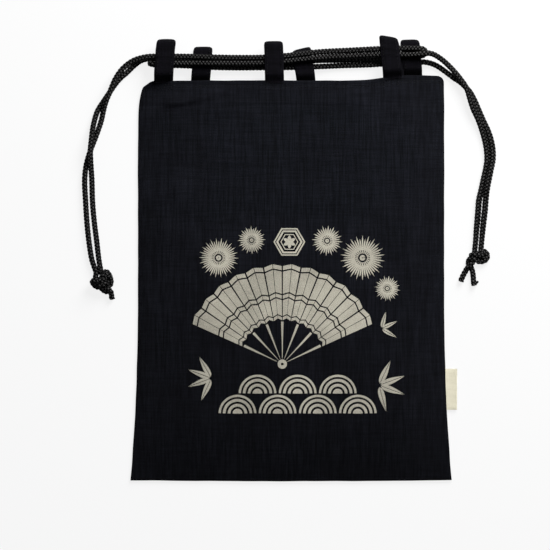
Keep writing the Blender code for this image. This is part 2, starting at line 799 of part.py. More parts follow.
def print_fan(ink):
    """An open folding fan: a pleated leaf, and ribs from its rivet."""
    leaf_start = FAN_RADIUS - FAN_LEAF_DEPTH
    rings = (leaf_start, leaf_start + FAN_RIM, FAN_RADIUS - FAN_RIM, FAN_RADIUS)
    pleats = banded_angles(FAN_PLEATS, FAN_START, FAN_END, FAN_PLEAT_GAP)
    leaf = polar_shape(FAN_PIVOT, rings, pleats, lambda i, j: i != 1 or j % 2 == 0)
    lay_print("print_fan_leaf", leaf, ink)
    rib_gap = (FAN_END - FAN_START - FAN_RIBS * FAN_RIB_WIDTH) / (FAN_RIBS - 1)
    ribs = banded_angles(FAN_RIBS, FAN_START, FAN_END, rib_gap)
    rings = (0.0, FAN_RIVET_RADIUS, leaf_start - FAN_RIB_GAP)
    bones = polar_shape(FAN_PIVOT, rings, ribs, lambda i, j: i == 0 or j % 2 == 0)
    lay_print("print_fan_ribs", bones, ink)


def print_waves(ink):
    """Overlapping wave scales, each a set of half rings that meet at its foot."""
    angles = [0.0, WAVE_FOOT]
    steps = 8
    angles += [WAVE_FOOT + (math.pi - 2 * WAVE_FOOT) * i / steps for i in range(1, steps + 1)]
    angles += [math.pi]
    rings = [WAVE_RADIUS * share for share in WAVE_BANDS]
    last = len(angles) - 2
    for i, centre in enumerate(WAVES):
        scale = polar_shape(centre, rings, angles, lambda a, b: a % 2 == 0 or b in (0, last))
        lay_print(f"print_wave_{i + 1}", scale, ink)


def print_pines(ink):
    """Round pine clusters with a lobed edge."""
    angles = [2 * math.pi * i / (4 * PINE_LOBES) for i in range(4 * PINE_LOBES + 1)]

    def lobes(angle):
        return 1 - PINE_LOBE_DEPTH * (1 - abs(math.sin(PINE_LOBES * angle / 2)))

    for i, (x, y, radius) in enumerate(PINES):
        cluster = polar_shape((x, y), (0.0, radius), angles, lambda a, b: True, lobes)
        lay_print(f"print_pine_{i + 1}", cluster, ink)


def print_hexagon(ink):
    """A hexagon inside a hexagonal ring, joined at three corners."""
    sixth = math.pi / 3
    angles = []
    for k in range(6):
        angles += [k * sixth - HEXAGON_BRIDGE, k * sixth, k * sixth + HEXAGON_BRIDGE]
    angles += [2 * math.pi - HEXAGON_BRIDGE]

    def flat_sided(angle):
        return math.cos(sixth / 2) / math.cos(angle % sixth - sixth / 2)

    rings = [HEXAGON_RADIUS * share for share in HEXAGON_RINGS]
    bridged = {0, 1, 6, 7, 12, 13}
    shape = polar_shape(HEXAGON_CENTRE, rings, angles, lambda a, b: a != 1 or b in bridged, flat_sided)
    lay_print("print_hexagon", shape, ink)


def print_leaf_sprays(ink):
    """Sprays of narrow bamboo leaves that meet at a joint."""
    for i, (x, y, length, directions) in enumerate(LEAF_SPRAYS):
        outline = []
        for degrees in sorted(d % 360 for d in directions):
            way = Vector((math.cos(math.radians(degrees)), math.sin(math.radians(degrees))))
            side = Vector((way.y, -way.x))
            outline += [(way * along + side * half) * length for along, half in LEAF_SIDES]
            outline.append(way * length)
            outline += [(way * along - side * half) * length for along, half in reversed(LEAF_SIDES)]
        spray = flat_faces([[(x + p.x, y + p.y) for p in outline]])
        lay_print(f"print_leaf_spray_{i + 1}", spray, ink)


def make_tag(material):
    """A bare folded ribbon that stands out of the right side seam."""
    left = max(half_width(TAG_CENTRE_Y + side * TAG_HEIGHT / 2) for side in (-1, 1)) + FIT_GAP
    right = left + TAG_WIDTH
    low = TAG_CENTRE_Y - TAG_HEIGHT / 2
    high = TAG_CENTRE_Y + TAG_HEIGHT / 2
    r = TAG_CORNER_RADIUS
    outline = [(left, low)]
    outline += arc((right - r, low + r), r, -math.pi / 2, 0, 3)
    outline += arc((right - r, high - r), r, 0, math.pi / 2, 3)
    outline += [(left, high)]
    middle = SEAM_TOP / 2
    tag = sheet_object(
        "side_tag",
        flat_faces([outline]),
        lambda x, y: middle - TAG_THICKNESS / 2,
        lambda x, y: middle + TAG_THICKNESS / 2,
        material,
    )
    return tag


def build():
    remove_start_objects()
    cloth = navy_cloth()
    straps = strap_cloth()
    cord = braided_cord()
    make_panels(cloth)
    make_loops(straps)
    make_cord("cord_left", left_cord_route(), cord)
    make_cord("cord_right", right_cord_route(), cord)
    make_knots(cord)
    make_tag(cream_ribbon())
    ink = printed_ink()
    print_fan(ink)
    print_waves(ink)
    print_pines(ink)
    print_hexagon(ink)
    print_leaf_sprays(ink)


build()
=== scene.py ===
"""Looks of a drawstring pouch that lies flat: navy cloth, braided cords, loops, print and tag.

Metres, +Z up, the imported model's frame. The front of the pouch faces +Z and its mouth +Y.
"""

from math import cos, exp, pi, radians, sin, sqrt

import bmesh
import bpy
import numpy as np
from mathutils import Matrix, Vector, noise


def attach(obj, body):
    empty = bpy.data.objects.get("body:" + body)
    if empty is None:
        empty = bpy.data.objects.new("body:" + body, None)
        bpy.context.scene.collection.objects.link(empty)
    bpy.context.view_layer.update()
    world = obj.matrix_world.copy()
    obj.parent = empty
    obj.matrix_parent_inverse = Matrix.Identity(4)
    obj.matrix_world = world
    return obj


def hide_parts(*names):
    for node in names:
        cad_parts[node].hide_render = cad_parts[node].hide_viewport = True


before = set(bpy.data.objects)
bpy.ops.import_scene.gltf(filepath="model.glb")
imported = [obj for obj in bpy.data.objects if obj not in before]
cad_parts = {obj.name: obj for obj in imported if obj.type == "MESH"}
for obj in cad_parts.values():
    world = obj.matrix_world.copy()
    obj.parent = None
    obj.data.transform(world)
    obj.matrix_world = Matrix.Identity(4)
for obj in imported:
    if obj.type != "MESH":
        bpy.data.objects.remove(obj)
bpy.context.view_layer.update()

# The pouch, as in the part
POUCH_HEIGHT = 0.3390
MOUTH_WIDTH = 0.2592
FOOT_FLARE = 0.0062
FLARE_HEIGHT = 0.1530
CLOTH_THICKNESS = 0.0012
CORNER_RADIUS = 0.0060
CORNER_CUT_WIDTH = 0.0085
CORNER_CUT_HEIGHT = 0.0052
MOUTH_RISE = 0.0048
MOUTH_RISE_START = 0.0500
MOUTH_RISE_END = 0.1050
MOUTH_DROP = 0.0012
FOOT_BOW = 0.0008
BODY_LOFT = 0.0095
MOUTH_LOFT = 0.0075
FOOT_SLOPE_LENGTH = 0.0900
HEM_DEPTH = 0.0200
FIT_GAP = 0.0003
SEAM_TOP = 2 * CLOTH_THICKNESS + FIT_GAP
SEAM_MIDDLE = SEAM_TOP / 2
HALF_HEIGHT = POUCH_HEIGHT / 2
HALF_MOUTH = MOUTH_WIDTH / 2

# Loops and cords
LOOP_WIDTH = 0.0162
STRAP_THICKNESS = 0.0012
CORD_DIAMETER = 0.0045
# Heights of a cord's middle: on the floor, in a back loop and in a front loop
LAID_Z = 0.0024
BACK_Z = 0.00405
FRONT_Z = 0.01065
LEG_SPREAD = 0.00345

# Side tag
TAG_WIDTH = 0.0094
TAG_HEIGHT = 0.0350
TAG_THICKNESS = 0.0010
TAG_CENTRE_Y = -0.0930
# How far past the side seam the tag's width starts
TAG_SHIFT = 0.0012


def smoothstep(low, high, value):
    share = min(max((value - low) / (high - low), 0.0), 1.0)
    return share * share * (3.0 - 2.0 * share)


def half_width(y):
    share = max(1.0 - (y + HALF_HEIGHT) / FLARE_HEIGHT, 0.0)
    return HALF_MOUTH + FOOT_FLARE * share * share


def mouth_edge(x):
    return HALF_HEIGHT + MOUTH_RISE * smoothstep(MOUTH_RISE_START, MOUTH_RISE_END, x)


def fullness(x, y):
    across = min(abs(x) / half_width(y), 1.0)
    along = min(max((y + HALF_HEIGHT) / FOOT_SLOPE_LENGTH, 0.0), 1.0)
    return (1 - across**4) * (1 - (1 - along) ** 3)


def front_height(x, y):
    """The front panel's outer surface before it is creased."""
    loft = BODY_LOFT + (MOUTH_LOFT - BODY_LOFT) * smoothstep(0.0, HALF_HEIGHT, y)
    return SEAM_TOP + loft * fullness(x, y)


def operator(name, swapped=False):
    """A method that adds one Math node to its field's tree."""

    def act(self, *others):
        values = (*others, self) if swapped else (self, *others)
        return self.nodes.maths(name, *values)

    return act


class Field:
    """A value that varies over a surface or along a curve; sums become Math nodes."""

    def __init__(self, nodes, socket):
        self.nodes = nodes
        self.socket = socket

    __add__ = __radd__ = operator("ADD")
    __sub__ = operator("SUBTRACT")
    __rsub__ = operator("SUBTRACT", swapped=True)
    __mul__ = __rmul__ = operator("MULTIPLY")
    __truediv__ = operator("DIVIDE")
    __pow__ = operator("POWER")
    __mod__ = operator("FLOORED_MODULO")
    __gt__ = operator("GREATER_THAN")
    __abs__ = operator("ABSOLUTE")
    sin = operator("SINE")
    cos = operator("COSINE")
    floor = operator("FLOOR")


class Nodes:
    """Adds nodes to one material's or one geometry's tree."""

    def __init__(self, tree):
        self.tree = tree

    def add(self, kind, inputs=None, output=0, **settings):
        """A node with its values and links by input name or place, and its settings."""
        node = self.tree.nodes.new(kind)
        for key, value in settings.items():
            setattr(node, key, value)
        for key, value in (inputs or {}).items():
            if isinstance(value, Field):
                self.tree.links.new(value.socket, node.inputs[key])
            else:
                node.inputs[key].default_value = value
        return Field(self, node.outputs[output]) if len(node.outputs) else node

    def maths(self, operation, *values):
        return self.add("ShaderNodeMath", dict(enumerate(values)), operation=operation)

    def vector(self, operation, *values):
        return self.add("ShaderNodeVectorMath", dict(enumerate(values)), operation=operation)

    def xyz(self, x, y, z):
        return self.add("ShaderNodeCombineXYZ", {"X": x, "Y": y, "Z": z})

    def attribute(self, name):
        return self.add("ShaderNodeAttribute", None, 2, attribute_name=name)

    def noise(self, place, fineness, detail=2.0):
        """Noise, 0 to 1; its fineness is one number or one for each of x, y and z."""
        stretch = fineness if isinstance(fineness, tuple) else (fineness,) * 3
        stretched = self.vector("MULTIPLY", place, stretch)
        inputs = {"Vector": stretched, "Scale": 1.0, "Detail": detail, "Roughness": 0.5}
        return self.add("ShaderNodeTexNoise", inputs)

    def ramp(self, value, low, high, start=0.0, end=1.0):
        inputs = {"Value": value, 1: low, 2: high, 3: start, 4: end}
        return self.add("ShaderNodeMapRange", inputs, interpolation_type="SMOOTHSTEP")

    def mix(self, share, a, b):
        """A blend of two colours."""
        return self.add("ShaderNodeMix", {0: share, 6: a, 7: b}, 2, data_type="RGBA")

    def bump(self, height, depth):
        inputs = {"Height": height, "Distance": depth, "Strength": 1.0}
        return self.add("ShaderNodeBump", inputs)


def new_material(name):
    material = bpy.data.materials.new(name)
    material.use_nodes = True
    material.node_tree.nodes.clear()
    return material, Nodes(material.node_tree)


def coat_with(nodes, inputs):
    """Ends a material's tree in one Principled surface."""
    surface = nodes.add("ShaderNodeBsdfPrincipled", inputs)
    nodes.add("ShaderNodeOutputMaterial", {"Surface": surface})


def object_place(nodes):
    """The place on the object, and its x, y and z."""
    place = nodes.add("ShaderNodeTexCoord", None, 3)
    split = nodes.add("ShaderNodeSeparateXYZ", {0: place})
    outputs = split.socket.node.outputs
    return place, [Field(nodes, outputs[i]) for i in range(3)]


def plain_weave(nodes, place, x, y):
    """Height of a plain weave, 0 to 1: wandering threads that pass over and under one another."""
    drift = nodes.noise(place, 30.0) - 0.5
    across = ((x + drift * 0.0012) * (pi / THREAD)).sin()
    along = ((y + drift * 0.0010) * (pi / THREAD)).sin()
    over = (across * along) > 0.0
    upright = abs(across) * abs(along) ** 0.35
    level = abs(along) * abs(across) ** 0.35
    return over * upright + (1.0 - over) * level


# Routes of the two drawstrings, in metres, from each knot and back to it.
# Points with two numbers lie on the floor.
LEFT_ROUTE = [
    # The upper strand, from the knot to the mouth
    (-0.1663, 0.0094), (-0.1689, 0.0170), (-0.1711, 0.0298), (-0.1730, 0.0468), (-0.1744, 0.0680),
    (-0.1751, 0.0850), (-0.1739, 0.0970), (-0.1706, 0.1090), (-0.1656, 0.1220), (-0.1611, 0.1350),
    (-0.1589, 0.1445, 0.0040), (-0.1566, 0.1520, 0.0068), (-0.1532, 0.1600, 0.0074),
    (-0.1485, 0.1710, 0.0070), (-0.1425, 0.1795, 0.0064), (-0.1335, 0.1862, 0.0074),
    (-0.1225, 0.1892, 0.0098), (-0.1150, 0.1896, FRONT_Z),
    # Through the front loops
    (-0.0980, 0.1896, FRONT_Z), (-0.0870, 0.1895, FRONT_Z), (-0.0660, 0.1889, FRONT_Z),
    (-0.0450, 0.1886, 0.0094), (-0.0240, 0.1887, FRONT_Z), (-0.0050, 0.1900, FRONT_Z),
    (0.0240, 0.1933, FRONT_Z), (0.0500, 0.1948, 0.0094), (0.0760, 0.1960, FRONT_Z),
    (0.0930, 0.1965, FRONT_Z),
    # Round to the back
    (0.1103, 0.1962, FRONT_Z), (0.1134, 0.1953, 0.0097), (0.1147, 0.1933, 0.0073),
    (0.1134, 0.1913, 0.0050), (0.1103, 0.1904, BACK_Z),
    # Through the back loops
    (0.0950, 0.1896, BACK_Z), (0.0820, 0.1886, 0.0026), (0.0693, 0.1876), (0.0440, 0.1870),
    (0.0230, 0.1866, BACK_Z), (0.0030, 0.1850, BACK_Z), (-0.0149, 0.1850), (-0.0430, 0.1862),
    (-0.0640, 0.1868, BACK_Z), (-0.0870, 0.1878, BACK_Z), (-0.1000, 0.1882, 0.0027),
    (-0.1110, 0.1884),
    # The lower strand, back to the knot
    (-0.1220, 0.1880), (-0.1275, 0.1864), (-0.1335, 0.1820), (-0.1389, 0.1767), (-0.1447, 0.1717),
    (-0.1492, 0.1664), (-0.1536, 0.1600), (-0.1590, 0.1520), (-0.1641, 0.1438), (-0.1669, 0.1352),
    (-0.1683, 0.1275, 0.0044), (-0.1690, 0.1200, 0.0068), (-0.1699, 0.1110, 0.0074),
    (-0.1698, 0.1020, 0.0064), (-0.1694, 0.0930, 0.0038), (-0.1690, 0.0850), (-0.1684, 0.0660),
    (-0.1668, 0.0480), (-0.1650, 0.0340), (-0.1630, 0.0170), (-0.1615, 0.0085),
]
RIGHT_ROUTE = [
    # The upper strand, from the knot to the mouth
    (0.1568, 0.0260), (0.1576, 0.0340), (0.1582, 0.0425), (0.1590, 0.0510), (0.1597, 0.0595),
    (0.1604, 0.0680), (0.1624, 0.0765), (0.1642, 0.0850), (0.1662, 0.0940), (0.1674, 0.1020),
    (0.1670, 0.1107), (0.1653, 0.1195), (0.1627, 0.1285, 0.0030), (0.1595, 0.1370, 0.0046),
    (0.1553, 0.1457, 0.0056), (0.1524, 0.1540, 0.0066), (0.1503, 0.1607, 0.0073),
    (0.1477, 0.1660, 0.0074), (0.1458, 0.1686, 0.0073), (0.1418, 0.1739, 0.0068),
    (0.1352, 0.1812, 0.0066), (0.1275, 0.1878, 0.0084), (0.1195, 0.1918, 0.0120),
    (0.1135, 0.1920, 0.0133),
    # Through the front loops
    (0.1075, 0.1915, 0.0122), (0.0990, 0.1912, FRONT_Z), (0.0760, 0.1914, FRONT_Z),
    (0.0500, 0.1903, 0.0094), (0.0240, 0.1887, FRONT_Z), (-0.0050, 0.1857, FRONT_Z),
    (-0.0240, 0.1842, FRONT_Z), (-0.0450, 0.1841, 0.0094), (-0.0660, 0.1840, FRONT_Z),
    (-0.0870, 0.1841, FRONT_Z),
    # Round to the back
    (-0.1080, 0.1841, FRONT_Z), (-0.1150, 0.1841, FRONT_Z), (-0.1179, 0.1840, 0.0094),
    (-0.1192, 0.1838, 0.0065), (-0.1179, 0.1835, 0.0036), (-0.1150, 0.1831),
    # Through the back loops
    (-0.0990, 0.1826), (-0.0870, 0.1821, BACK_Z), (-0.0640, 0.1808, BACK_Z),
    (-0.0430, 0.1806), (-0.0149, 0.1808), (0.0030, 0.1808, BACK_Z), (0.0230, 0.1814, BACK_Z),
    (0.0440, 0.1824), (0.0693, 0.1832), (0.0820, 0.1841, 0.0026), (0.0950, 0.1849, BACK_Z),
    (0.1085, 0.1853, BACK_Z),
    # The lower strand, back to the knot
    (0.1140, 0.1853, 0.0036), (0.1195, 0.1843, 0.0025), (0.1249, 0.1820), (0.1324, 0.1768),
    (0.1392, 0.1717), (0.1446, 0.1682), (0.1490, 0.1640), (0.1526, 0.1601), (0.1568, 0.1522),
    (0.1603, 0.1437), (0.1641, 0.1350), (0.1680, 0.1266), (0.1706, 0.1185), (0.1720, 0.1103),
    (0.1719, 0.1020, 0.0036), (0.1702, 0.0941, 0.0054), (0.1684, 0.0854, 0.0056),
    (0.1668, 0.0767, 0.0050), (0.1660, 0.0680, 0.0028), (0.1654, 0.0595), (0.1644, 0.0510),
    (0.1635, 0.0425), (0.1627, 0.0340), (0.1620, 0.0260),
]

# Widths of one thread of the cloth, and of one rib and one yarn of the tape
THREAD = 0.00083
TAPE_RIB = 0.00062
TAPE_YARN = 0.00042


def make_cloth_material(name, shade, tint, streaks):
    """Dark plain-woven cloth with uneven threads, long faint streaks and a little fuzz, and painted
    shade towards its turned edges and its foot.
    """
    material, nodes = new_material(name)
    place, (x, y, z) = object_place(nodes)
    weave = plain_weave(nodes, place, x, y)
    thick_and_thin = nodes.noise(place, (900.0, 45.0, 45.0), 3.0)
    cross_threads = nodes.noise(place, (45.0, 900.0, 45.0), 3.0)
    long_streaks = nodes.noise(place, (170.0, 7.0, 20.0))
    worn = nodes.noise(place, 22.0, 3.0)
    lint = nodes.noise(place, 620.0)
    turned = nodes.add("ShaderNodeLayerWeight", {"Blend": 0.35}, 1)
    light = 0.45 + 0.6 * weave
    light = light * nodes.ramp(thick_and_thin, 0.30, 0.70, 0.55, 1.45)
    light = light * nodes.ramp(cross_threads, 0.3, 0.7, 0.75, 1.25)
    light = light * (1.0 - streaks + 2.0 * streaks * long_streaks) * (0.60 + 0.8 * worn)
    # Painted shade: the cloth is darkened where its surface turns away from the camera, towards its
    # rounded edges
    light = light * (1.0 - 0.88 * nodes.ramp(turned, 0.03, 0.45))
    # Painted shade: the cloth grows darker towards the foot, as the light falls from the mouth's side
    light = light * nodes.ramp(y, -0.18, 0.09, 0.66, 1.0)
    dark = tuple(c * 0.45 for c in shade) + (1.0,)
    pale = tuple(c * 1.6 for c in tint) + (1.0,)
    colour = nodes.mix(light * 0.5, dark, pale)
    speck = nodes.ramp(lint, 0.72, 0.80)
    colour = nodes.mix(speck * 0.10, colour, (0.04, 0.04, 0.045, 1.0))
    height = weave * (0.7 + 0.6 * thick_and_thin) + 0.5 * cross_threads + 0.25 * lint
    inputs = {
        "Base Color": colour,
        "Roughness": 0.72 + 0.2 * worn,
        "Normal": nodes.bump(height, 0.00030),
        "Specular IOR Level": 0.05,
        "Sheen Weight": 0.015,
        "Sheen Roughness": 0.45,
        "Sheen Tint": (0.55, 0.58, 0.70, 1.0),
    }
    coat_with(nodes, inputs)
    return material


def make_cord_material():
    """Smooth dark yarn, braided; each strand has fine fibres along it, with painted shade in the
    grooves where a strand dips under and towards the cord's sides.
    """
    material, nodes = new_material("braid_yarn")
    place = object_place(nodes)[0]
    along = nodes.attribute("along")
    strand = nodes.attribute("strand")
    fibres = nodes.noise(place, 2600.0)
    wear = nodes.noise(place, 60.0)
    rise = nodes.attribute("rise")
    ply = (along * 9000.0 + strand * 1.7 + (fibres - 0.5) * 3.0).sin()
    turned = nodes.add("ShaderNodeLayerWeight", {"Blend": 0.5}, 1)
    # Painted shade: each strand is darkened where it dips under the next one, in the braid's grooves
    light = (0.40 + 0.4 * fibres + 0.15 * ply + 0.4 * wear) * nodes.ramp(rise, 0.25, 1.0)
    # Painted shade: the cord is darkened towards its sides, where its surface turns away from the
    # camera
    light = light * nodes.ramp(turned, 0.08, 0.50, 1.0, 0.03)
    colour = nodes.mix(light, (0.0003, 0.0003, 0.0003, 1.0), (0.050, 0.049, 0.048, 1.0))
    height = 0.5 + 0.3 * ply + 0.4 * fibres
    normal = nodes.bump(height, 0.00010)
    inputs = {"Base Color": colour, "Roughness": 0.42 + 0.2 * fibres, "Normal": normal}
    coat_with(nodes, {**inputs, "Specular IOR Level": 0.04})
    return material


def make_thread_material():
    """Polished sewing thread, two plies twisted together."""
    material, nodes = new_material("sewing_thread")
    place, (x, y, z) = object_place(nodes)
    twist = ((x + y) * 14000.0).sin()
    patch = nodes.noise(place, 300.0)
    mottle = patch * 0.6 + twist * 0.2
    colour = nodes.mix(mottle, (0.0003, 0.0003, 0.0005, 1.0), (0.0022, 0.0024, 0.0034, 1.0))
    normal = nodes.bump(twist, 0.00004)
    inputs = {"Base Color": colour, "Roughness": 0.35 + 0.2 * patch, "Normal": normal}
    coat_with(nodes, {**inputs, "Specular IOR Level": 0.10})
    return material


def make_ribbon_material():
    """Cream tape woven across in fine ribs."""
    material, nodes = new_material("cream_tape")
    place, (x, y, z) = object_place(nodes)
    wander = nodes.noise(place, 40.0)
    ribs = (y * (2 * pi / TAPE_RIB) + wander).sin()
    yarns = (x * (2 * pi / TAPE_YARN)).sin()
    soft = nodes.noise(place, (110.0, 500.0, 110.0), 3.0)
    height = 0.5 + 0.3 * ribs + 0.15 * yarns * ribs + 0.3 * soft
    light = 0.45 + 0.22 * ribs + 0.08 * yarns + 0.4 * (soft - 0.5)
    colour = nodes.mix(light, (0.55, 0.51, 0.37, 1.0), (0.90, 0.86, 0.69, 1.0))
    normal = nodes.bump(height, 0.00012)
    inputs = {"Base Color": colour, "Roughness": 0.55 + 0.2 * soft, "Normal": normal}
    coat_with(nodes, {**inputs, "Specular IOR Level": 0.3, "Sheen Weight": 0.15})
    return material


def make_ink_material():
    """Matt pigment that sits on the tops of the weave and misses its hollows."""
    material, nodes = new_material("pigment_print")
    place, (x, y, z) = object_place(nodes)
    weave = plain_weave(nodes, place, x, y)
    blot = nodes.noise(place, 35.0, 3.0)
    grain = nodes.noise(place, 1500.0)
    cover = nodes.ramp(weave + 0.9 * (grain - 0.5) + 0.5 * (blot - 0.5), 0.08, 0.42)
    pigment = nodes.mix(blot, (0.330, 0.308, 0.250, 1.0), (0.600, 0.570, 0.470, 1.0))
    pigment = nodes.mix(grain * 0.5, pigment, (0.43, 0.405, 0.33, 1.0))
    colour = nodes.mix(cover, (0.040, 0.040, 0.040, 1.0), pigment)
    normal = nodes.bump(weave + 0.3 * grain, 0.00018)
    inputs = {"Base Color": colour, "Roughness": 0.75 + 0.2 * grain, "Normal": normal}
    coat_with(nodes, {**inputs, "Specular IOR Level": 0.2})
    return material


# Dark and pale colours of the two cloths, as red, green and blue
NAVY_SHADE, NAVY_TINT = (0.0010, 0.0011, 0.0019), (0.0071, 0.0077, 0.0110)
STRAP_SHADE, STRAP_TINT = (0.0005, 0.0004, 0.0008), (0.0030, 0.0026, 0.0044)

NAVY_CLOTH = make_cloth_material("navy_weave", NAVY_SHADE, NAVY_TINT, 0.34)
STRAP_CLOTH = make_cloth_material("strap_weave", STRAP_SHADE, STRAP_TINT, 0.16)
BRAID_YARN = make_cord_material()
THREAD_COLOUR = make_thread_material()
CREAM_TAPE = make_ribbon_material()
PRINT_INK = make_ink_material()


CAMERA_PLACE = (-0.01318, 0.00425, 2.3420)
LENS_LENGTH = 180.0
FLOOR_HALF = 3.0


def make_camera():
    """A long lens straight above, as far off as gives the photo's scale."""
    lens = bpy.data.cameras.new("camera")
    lens.lens = LENS_LENGTH
    lens.sensor_width = 36.0
    camera = bpy.data.objects.new("camera", lens)
    camera.location = CAMERA_PLACE
    bpy.context.scene.collection.objects.link(camera)
    bpy.context.scene.camera = camera


def make_lamp(name, place, aim, size, power):
    """A square soft lamp that faces its aim."""
    light = bpy.data.lights.new(name, "AREA")
    light.size = size
    light.energy = power
    lamp = bpy.data.objects.new(name, light)
    lamp.location = place
    way = Vector(aim) - Vector(place)
    lamp.rotation_euler = way.to_track_quat("-Z", "Y").to_euler()
    bpy.context.scene.collection.objects.link(lamp)


def make_room():
    """A bright even room and a white floor that keeps a faint shadow."""
    world = bpy.data.worlds.new("room")
    world.use_nodes = True
    world.node_tree.nodes.clear()
    nodes = Nodes(world.node_tree)
    inputs = {"Color": (0.93, 0.95, 1.0, 1.0), "Strength": 0.16}
    glow = nodes.add("ShaderNodeBackground", inputs)
    nodes.add("ShaderNodeOutputWorld", {"Surface": glow})
    bpy.context.scene.world = world
    make_lamp("window", (0.46, 0.82, 0.60), aim=(0.05, 0.08, 0.0), size=0.6, power=26.0)
    make_lamp("fill", (-1.1, 0.1, 1.2), aim=(0.0, 0.0, 0.0), size=1.4, power=1.6)

    material, nodes = new_material("white_floor")
    matt = nodes.add("ShaderNodeBsdfDiffuse", {"Color": (0.80, 0.80, 0.80, 1.0)})
    seen = nodes.add("ShaderNodeEmission", {"Color": (1.0, 1.0, 1.0, 1.0), "Strength": 0.97})
    camera_ray = nodes.add("ShaderNodeLightPath")
    shown = nodes.add("ShaderNodeMixShader", {0: camera_ray * 0.86, 1: matt, 2: seen})
    nodes.add("ShaderNodeOutputMaterial", {"Surface": shown})
    flat = bmesh.new()
    bmesh.ops.create_grid(flat, x_segments=1, y_segments=1, size=FLOOR_HALF)
    floor = mesh_piece("floor", flat, material)


def mesh_piece(name, shape, material):
    mesh = bpy.data.meshes.new(name)
    shape.to_mesh(mesh)
    shape.free()
    mesh.materials.append(material)
    for face in mesh.polygons:
        face.use_smooth = True
    mesh.set_sharp_from_angle(angle=radians(50))
    piece = bpy.data.objects.new(name, mesh)
    bpy.context.scene.collection.objects.link(piece)
    return piece


def grid_shape(rows, closed_across=False):
    """A surface through rows of points, with equal numbers of points in each row."""
    shape = bmesh.new()
    made = [[shape.verts.new(p) for p in row] for row in rows]
    for a, b in zip(made, made[1:]):
        if closed_across:
            a, b = a + a[:1], b + b[:1]
        for i in range(len(a) - 1):
            shape.faces.new((a[i], a[i + 1], b[i + 1], b[i]))
    return shape


def capped_tube(rings):
    """A closed surface through rings of points, with a face over each end."""
    shape = grid_shape(rings, closed_across=True)
    points = list(shape.verts)
    count = len(rings[0])
    shape.faces.new(points[:count])
    shape.faces.new(points[::-1][:count])
    return seal(shape)


def seal(shape, distance=1e-6):
    """Joins points that meet and turns all faces outward."""
    bmesh.ops.remove_doubles(shape, verts=shape.verts[:], dist=distance)
    bmesh.ops.dissolve_degenerate(shape, edges=shape.edges[:], dist=distance)
    bmesh.ops.recalc_face_normals(shape, faces=shape.faces[:])
    return shape


def smooth_curve(points):
    """Closely spaced points on a centripetal curve through the given points."""
    places = [Vector((*p, LAID_Z)[:3]) for p in points]
    places = [places[0] * 2 - places[1], *places, places[-1] * 2 - places[-2]]
    dense = []
    for a, b, c, d in zip(places, places[1:], places[2:], places[3:]):
        k1 = (b - a).length ** 0.5
        k2 = k1 + (c - b).length ** 0.5
        k3 = k2 + (d - c).length ** 0.5
        for i in range(12):
            t = k1 + (k2 - k1) * i / 12
            ab = a.lerp(b, t / k1)
            bc = b.lerp(c, (t - k1) / (k2 - k1))
            cd = c.lerp(d, (t - k2) / (k3 - k2))
            abc = ab.lerp(bc, t / k2)
            bcd = bc.lerp(cd, (t - k1) / (k3 - k1))
            dense.append(abc.lerp(bcd, (t - k1) / (k2 - k1)))
    dense.append(places[-2])
    return [Vector((p.x, p.y, max(p.z, LAID_Z))) for p in dense]


def evenly_spaced(points, spacing):
    """Points along a line, equal lengths apart, as an array."""
    points = np.array(points)
    steps = np.linalg.norm(np.diff(points, axis=0), axis=1)
    gone = np.concatenate([[0.0], np.cumsum(steps)])
    count = max(int(round(gone[-1] / spacing)), 2)
    places = np.linspace(0.0, gone[-1], count + 1)
    return np.stack([np.interp(places, gone, points[:, i]) for i in range(3)], axis=1)


# A loose knot's half width, height and depth, and how high it starts above the floor
KNOT_SIZE = (0.0062, 0.0080, 0.0021)
KNOT_START_HEIGHT = 0.045
# Points in each of its strands, how near two stretches may come, and the spacing once drawn
KNOT_POINTS = 66
KNOT_APART = 0.0036
KNOT_STEP = 0.0011
# Points at each end of a strand that are held in place
HELD_POINTS = 3
# Rounds of pulling: the first ones lower the knot to the floor and the last ones only settle it
DRAW_ROUNDS = 1100
LOWERING_ROUNDS = 400
SETTLING_ROUNDS = 250
# In each round the strands shrink by the first share, unless they are stretched past the second
SHRINKING = 0.995
STRETCH = 1.05
# How strongly a strand straightens
STIFFNESS = 0.10


def hand_turns(strands, centre, tilt, roll, mirror):
    """Two open strands side by side on their way through one loose overhand knot."""
    t = np.linspace(-2.02, 2.02, strands)
    down = t**3 - 3 * t
    over = t**4 - 4 * t**2
    up = t**5 - 10 * t
    wide, tall, deep = KNOT_SIZE
    middle = np.stack([mirror * (over + 1.5) * wide, -down * tall, up * mirror * deep], axis=1)
    way = np.gradient(middle, axis=0)
    side = np.stack([way[:, 1], -way[:, 0], np.zeros(strands)], axis=1)
    side /= np.linalg.norm(side, axis=1)[:, None]
    ct, st, cr, sr = cos(tilt), sin(tilt), cos(roll), sin(roll)
    turn = np.array([[ct, st, 0], [-st, ct, 0], [0, 0, 1]])
    rolled = np.array([[cr, 0, -sr], [0, 1, 0], [sr, 0, cr]])
    pair = [middle + side * s * 0.55 * CORD_DIAMETER for s in (1, -1)]
    return [p @ rolled @ turn + np.array([*centre, KNOT_START_HEIGHT]) for p in pair]


